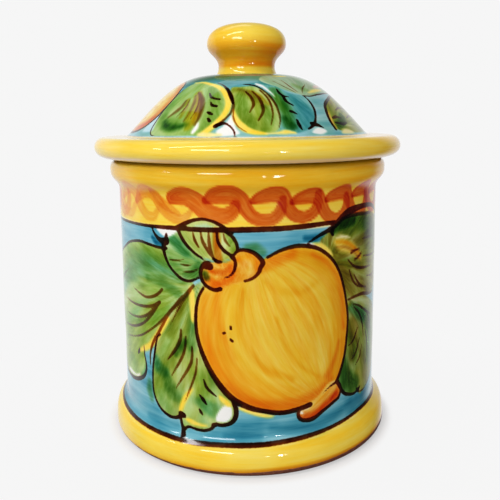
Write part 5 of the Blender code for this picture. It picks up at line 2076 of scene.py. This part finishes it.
@dataclass
class Studio:
    """Pale table, soft lamps, bright surroundings and the camera.

    The table glows from contact_glow at the foot, over shadow[0] to shadow[1] metres from the axis,
    up to table_glow, and reaches the backdrop's own brightness at shadow[2]. room_lean turns the
    dim side of the room, which is the camera's, a little to the right.
    """

    backdrop: float = 0.921
    daylight: float = 0.60
    table_tone: float = 0.55
    table_glow: float = 0.95
    contact_glow: float = 0.15
    shadow: tuple[float, float, float] = (0.0603, 0.0650, 0.15)
    table_warmth: tuple[float, float, float] = (1.02, 0.99, 0.96)
    room_lean: float = -0.22
    lens: float = 43.68
    eye: tuple[float, float, float] = (0.0007, -0.2607, 0.1298)
    tilt: float = 12.18
    lean: float = -0.52
    softboxes: tuple[Softbox, ...] = (
        Softbox("front window", -26.0, 24.0, 0.90, (0.39, 0.15), 2.4),
        Softbox("left strip", -44.0, 55.0, 0.90, (0.72, 0.07), 2.3, 45.0),
        Softbox("ceiling", -150.0, 62.0, 0.90, (0.60, 0.22), 0.45),
        Softbox("near lamp", 12.3, 1.0, 0.90, (0.045, 0.05), 0.10),
        Softbox("far lamp", 23.0, 1.2, 0.90, (0.055, 0.10), 0.70),
        Softbox("far lamp shade", 26.6, 1.6, 0.90, (0.05, 0.07), 0.09),
        Softbox("left lamp", -68.0, 26.0, 0.90, (0.10, 0.05), 0.24),
    )

    def build(self) -> None:
        """Sets up everything round the jar."""
        self.make_table()
        self.make_world()
        for softbox in self.softboxes:
            softbox.place(Vector((0.0, 0.0, 0.08)))
        self.make_camera()

    def behind(self, graph: Graph, direction: object) -> Socket:
        """How far a direction points away from the camera, to the bright side of the room."""
        x, y, _ = graph.split(direction)
        return graph.math("MULTIPLY_ADD", x, self.room_lean, y)

    def make_table(self) -> None:
        """Pale table top that keeps a soft shadow near the jar and runs into the backdrop further off."""
        mesh = bpy.data.meshes.new("table_top")
        corners = [(-2.5, -2.0, 0.0), (2.5, -2.0, 0.0), (2.5, 3.0, 0.0), (-2.5, 3.0, 0.0)]
        mesh.from_pydata(corners, [], [(0, 1, 2, 3)])
        table = bpy.data.objects.new("table_top", mesh)
        bpy.context.scene.collection.objects.link(table)
        material = bpy.data.materials.new("pale table")
        material.use_nodes = True
        graph = Graph(material.node_tree)
        shader = material.node_tree.nodes["Principled BSDF"]
        place = graph.add("ShaderNodeTexCoord").outputs["Object"]
        pale, paler = ([self.table_tone * share * channel for channel in self.table_warmth] + [1.0]
                       for share in (0.98, 1.02))
        graph.join(graph.blend(graph.noise(place, 30.0, 3.0), pale, paler), shader.inputs["Base Color"])
        shader.inputs["Roughness"].default_value = 0.9
        shader.inputs["Specular IOR Level"].default_value = 0.1
        grey = (self.backdrop, self.backdrop, self.backdrop, 1.0)
        away = graph.length(place)
        near, middle, far = self.shadow
        fade = graph.plus(graph.ramp(away, near, middle, self.contact_glow, self.table_glow),
                          graph.ramp(away, middle, far, 0.0, 1 - self.table_glow))
        lit = graph.times(graph.minus(1.0, fade), self.table_tone / self.backdrop)
        glow = graph.result("ShaderNodeEmission", grey, graph.math("DIVIDE", graph.minus(1.0, lit), fade))
        paths = graph.add("ShaderNodeLightPath").outputs
        shown = graph.times(graph.seen(paths), fade)
        top = graph.result("ShaderNodeMixShader", shown, shader.outputs[0], glow)
        front = graph.ramp(self.behind(graph, graph.vector("NORMALIZE", place)), 0.72, 0.28)
        clear = graph.add("ShaderNodeBsdfTransparent").outputs[0]
        dark = graph.result("ShaderNodeMixShader", graph.times(paths["Is Glossy Ray"], front), top, clear)
        graph.join(dark, material.node_tree.nodes["Material Output"].inputs["Surface"])
        mesh.materials.append(material)

    def make_world(self) -> None:
        """White surroundings, dimmer towards the camera's side of the room in the gloss."""
        world = bpy.data.worlds.new("studio")
        bpy.context.scene.world = world
        world.use_nodes = True
        graph = Graph(world.node_tree)
        background = world.node_tree.nodes["Background"]
        paths = graph.add("ShaderNodeLightPath").outputs
        direction = graph.add("ShaderNodeTexCoord").outputs["Generated"]
        x, _, z = graph.split(direction)
        room = graph.times(graph.ramp(self.behind(graph, direction), 0.28, 0.72, 0.05, 1.0),
                           graph.ramp(z, 0.22, 0.62, 1.0, 0.22))
        camera = graph.most(paths["Is Camera Ray"], paths["Is Transmission Ray"])
        shown = graph.times(graph.most(camera, graph.times(paths["Is Glossy Ray"], room)), self.backdrop)
        side = graph.math("MULTIPLY_ADD", x, -0.28 * self.daylight, self.daylight)
        side = graph.times(side, graph.math("MULTIPLY_ADD", z, -0.28, 1.06))
        hidden = graph.times(graph.minus(1.0, graph.seen(paths)), side)
        graph.join(graph.plus(shown, hidden), background.inputs["Strength"])
        background.inputs["Color"].default_value = (1.0, 1.0, 1.0, 1.0)

    def make_camera(self) -> None:
        """Camera just above the rim, tilted down at the jar."""
        data = bpy.data.cameras.new("camera")
        data.lens = self.lens
        data.sensor_width = 36.0
        data.clip_start = 0.01
        camera = bpy.data.objects.new("camera", data)
        turn = Matrix.Rotation(math.radians(90.0 - self.tilt), 4, "X")
        lean = Matrix.Rotation(math.radians(self.lean), 4, "Z")
        camera.matrix_world = Matrix.Translation(self.eye) @ turn @ lean
        bpy.context.scene.collection.objects.link(camera)
        bpy.context.scene.camera = camera


def main() -> None:
    """Loads the frame, builds every piece and sets up the studio."""
    logging.basicConfig(level=logging.INFO)
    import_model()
    bpy.context.scene.view_settings.view_transform = "Standard"
    pieces = ((Jar(), "jar", "jar_body", "jar_glaze"), (Lid(), "lid", "lid", "lid_glaze"),
              (Knob(), "lid", "lid_knob", "knob_glaze"))
    for maker, body, node, finish in pieces:
        piece = maker.build()
        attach(piece, body)
        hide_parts(node)
        LOG.info("%s: %d faces", piece.name, len(piece.data.polygons))
    Studio().build()


if __name__ == "__main__":
    main()
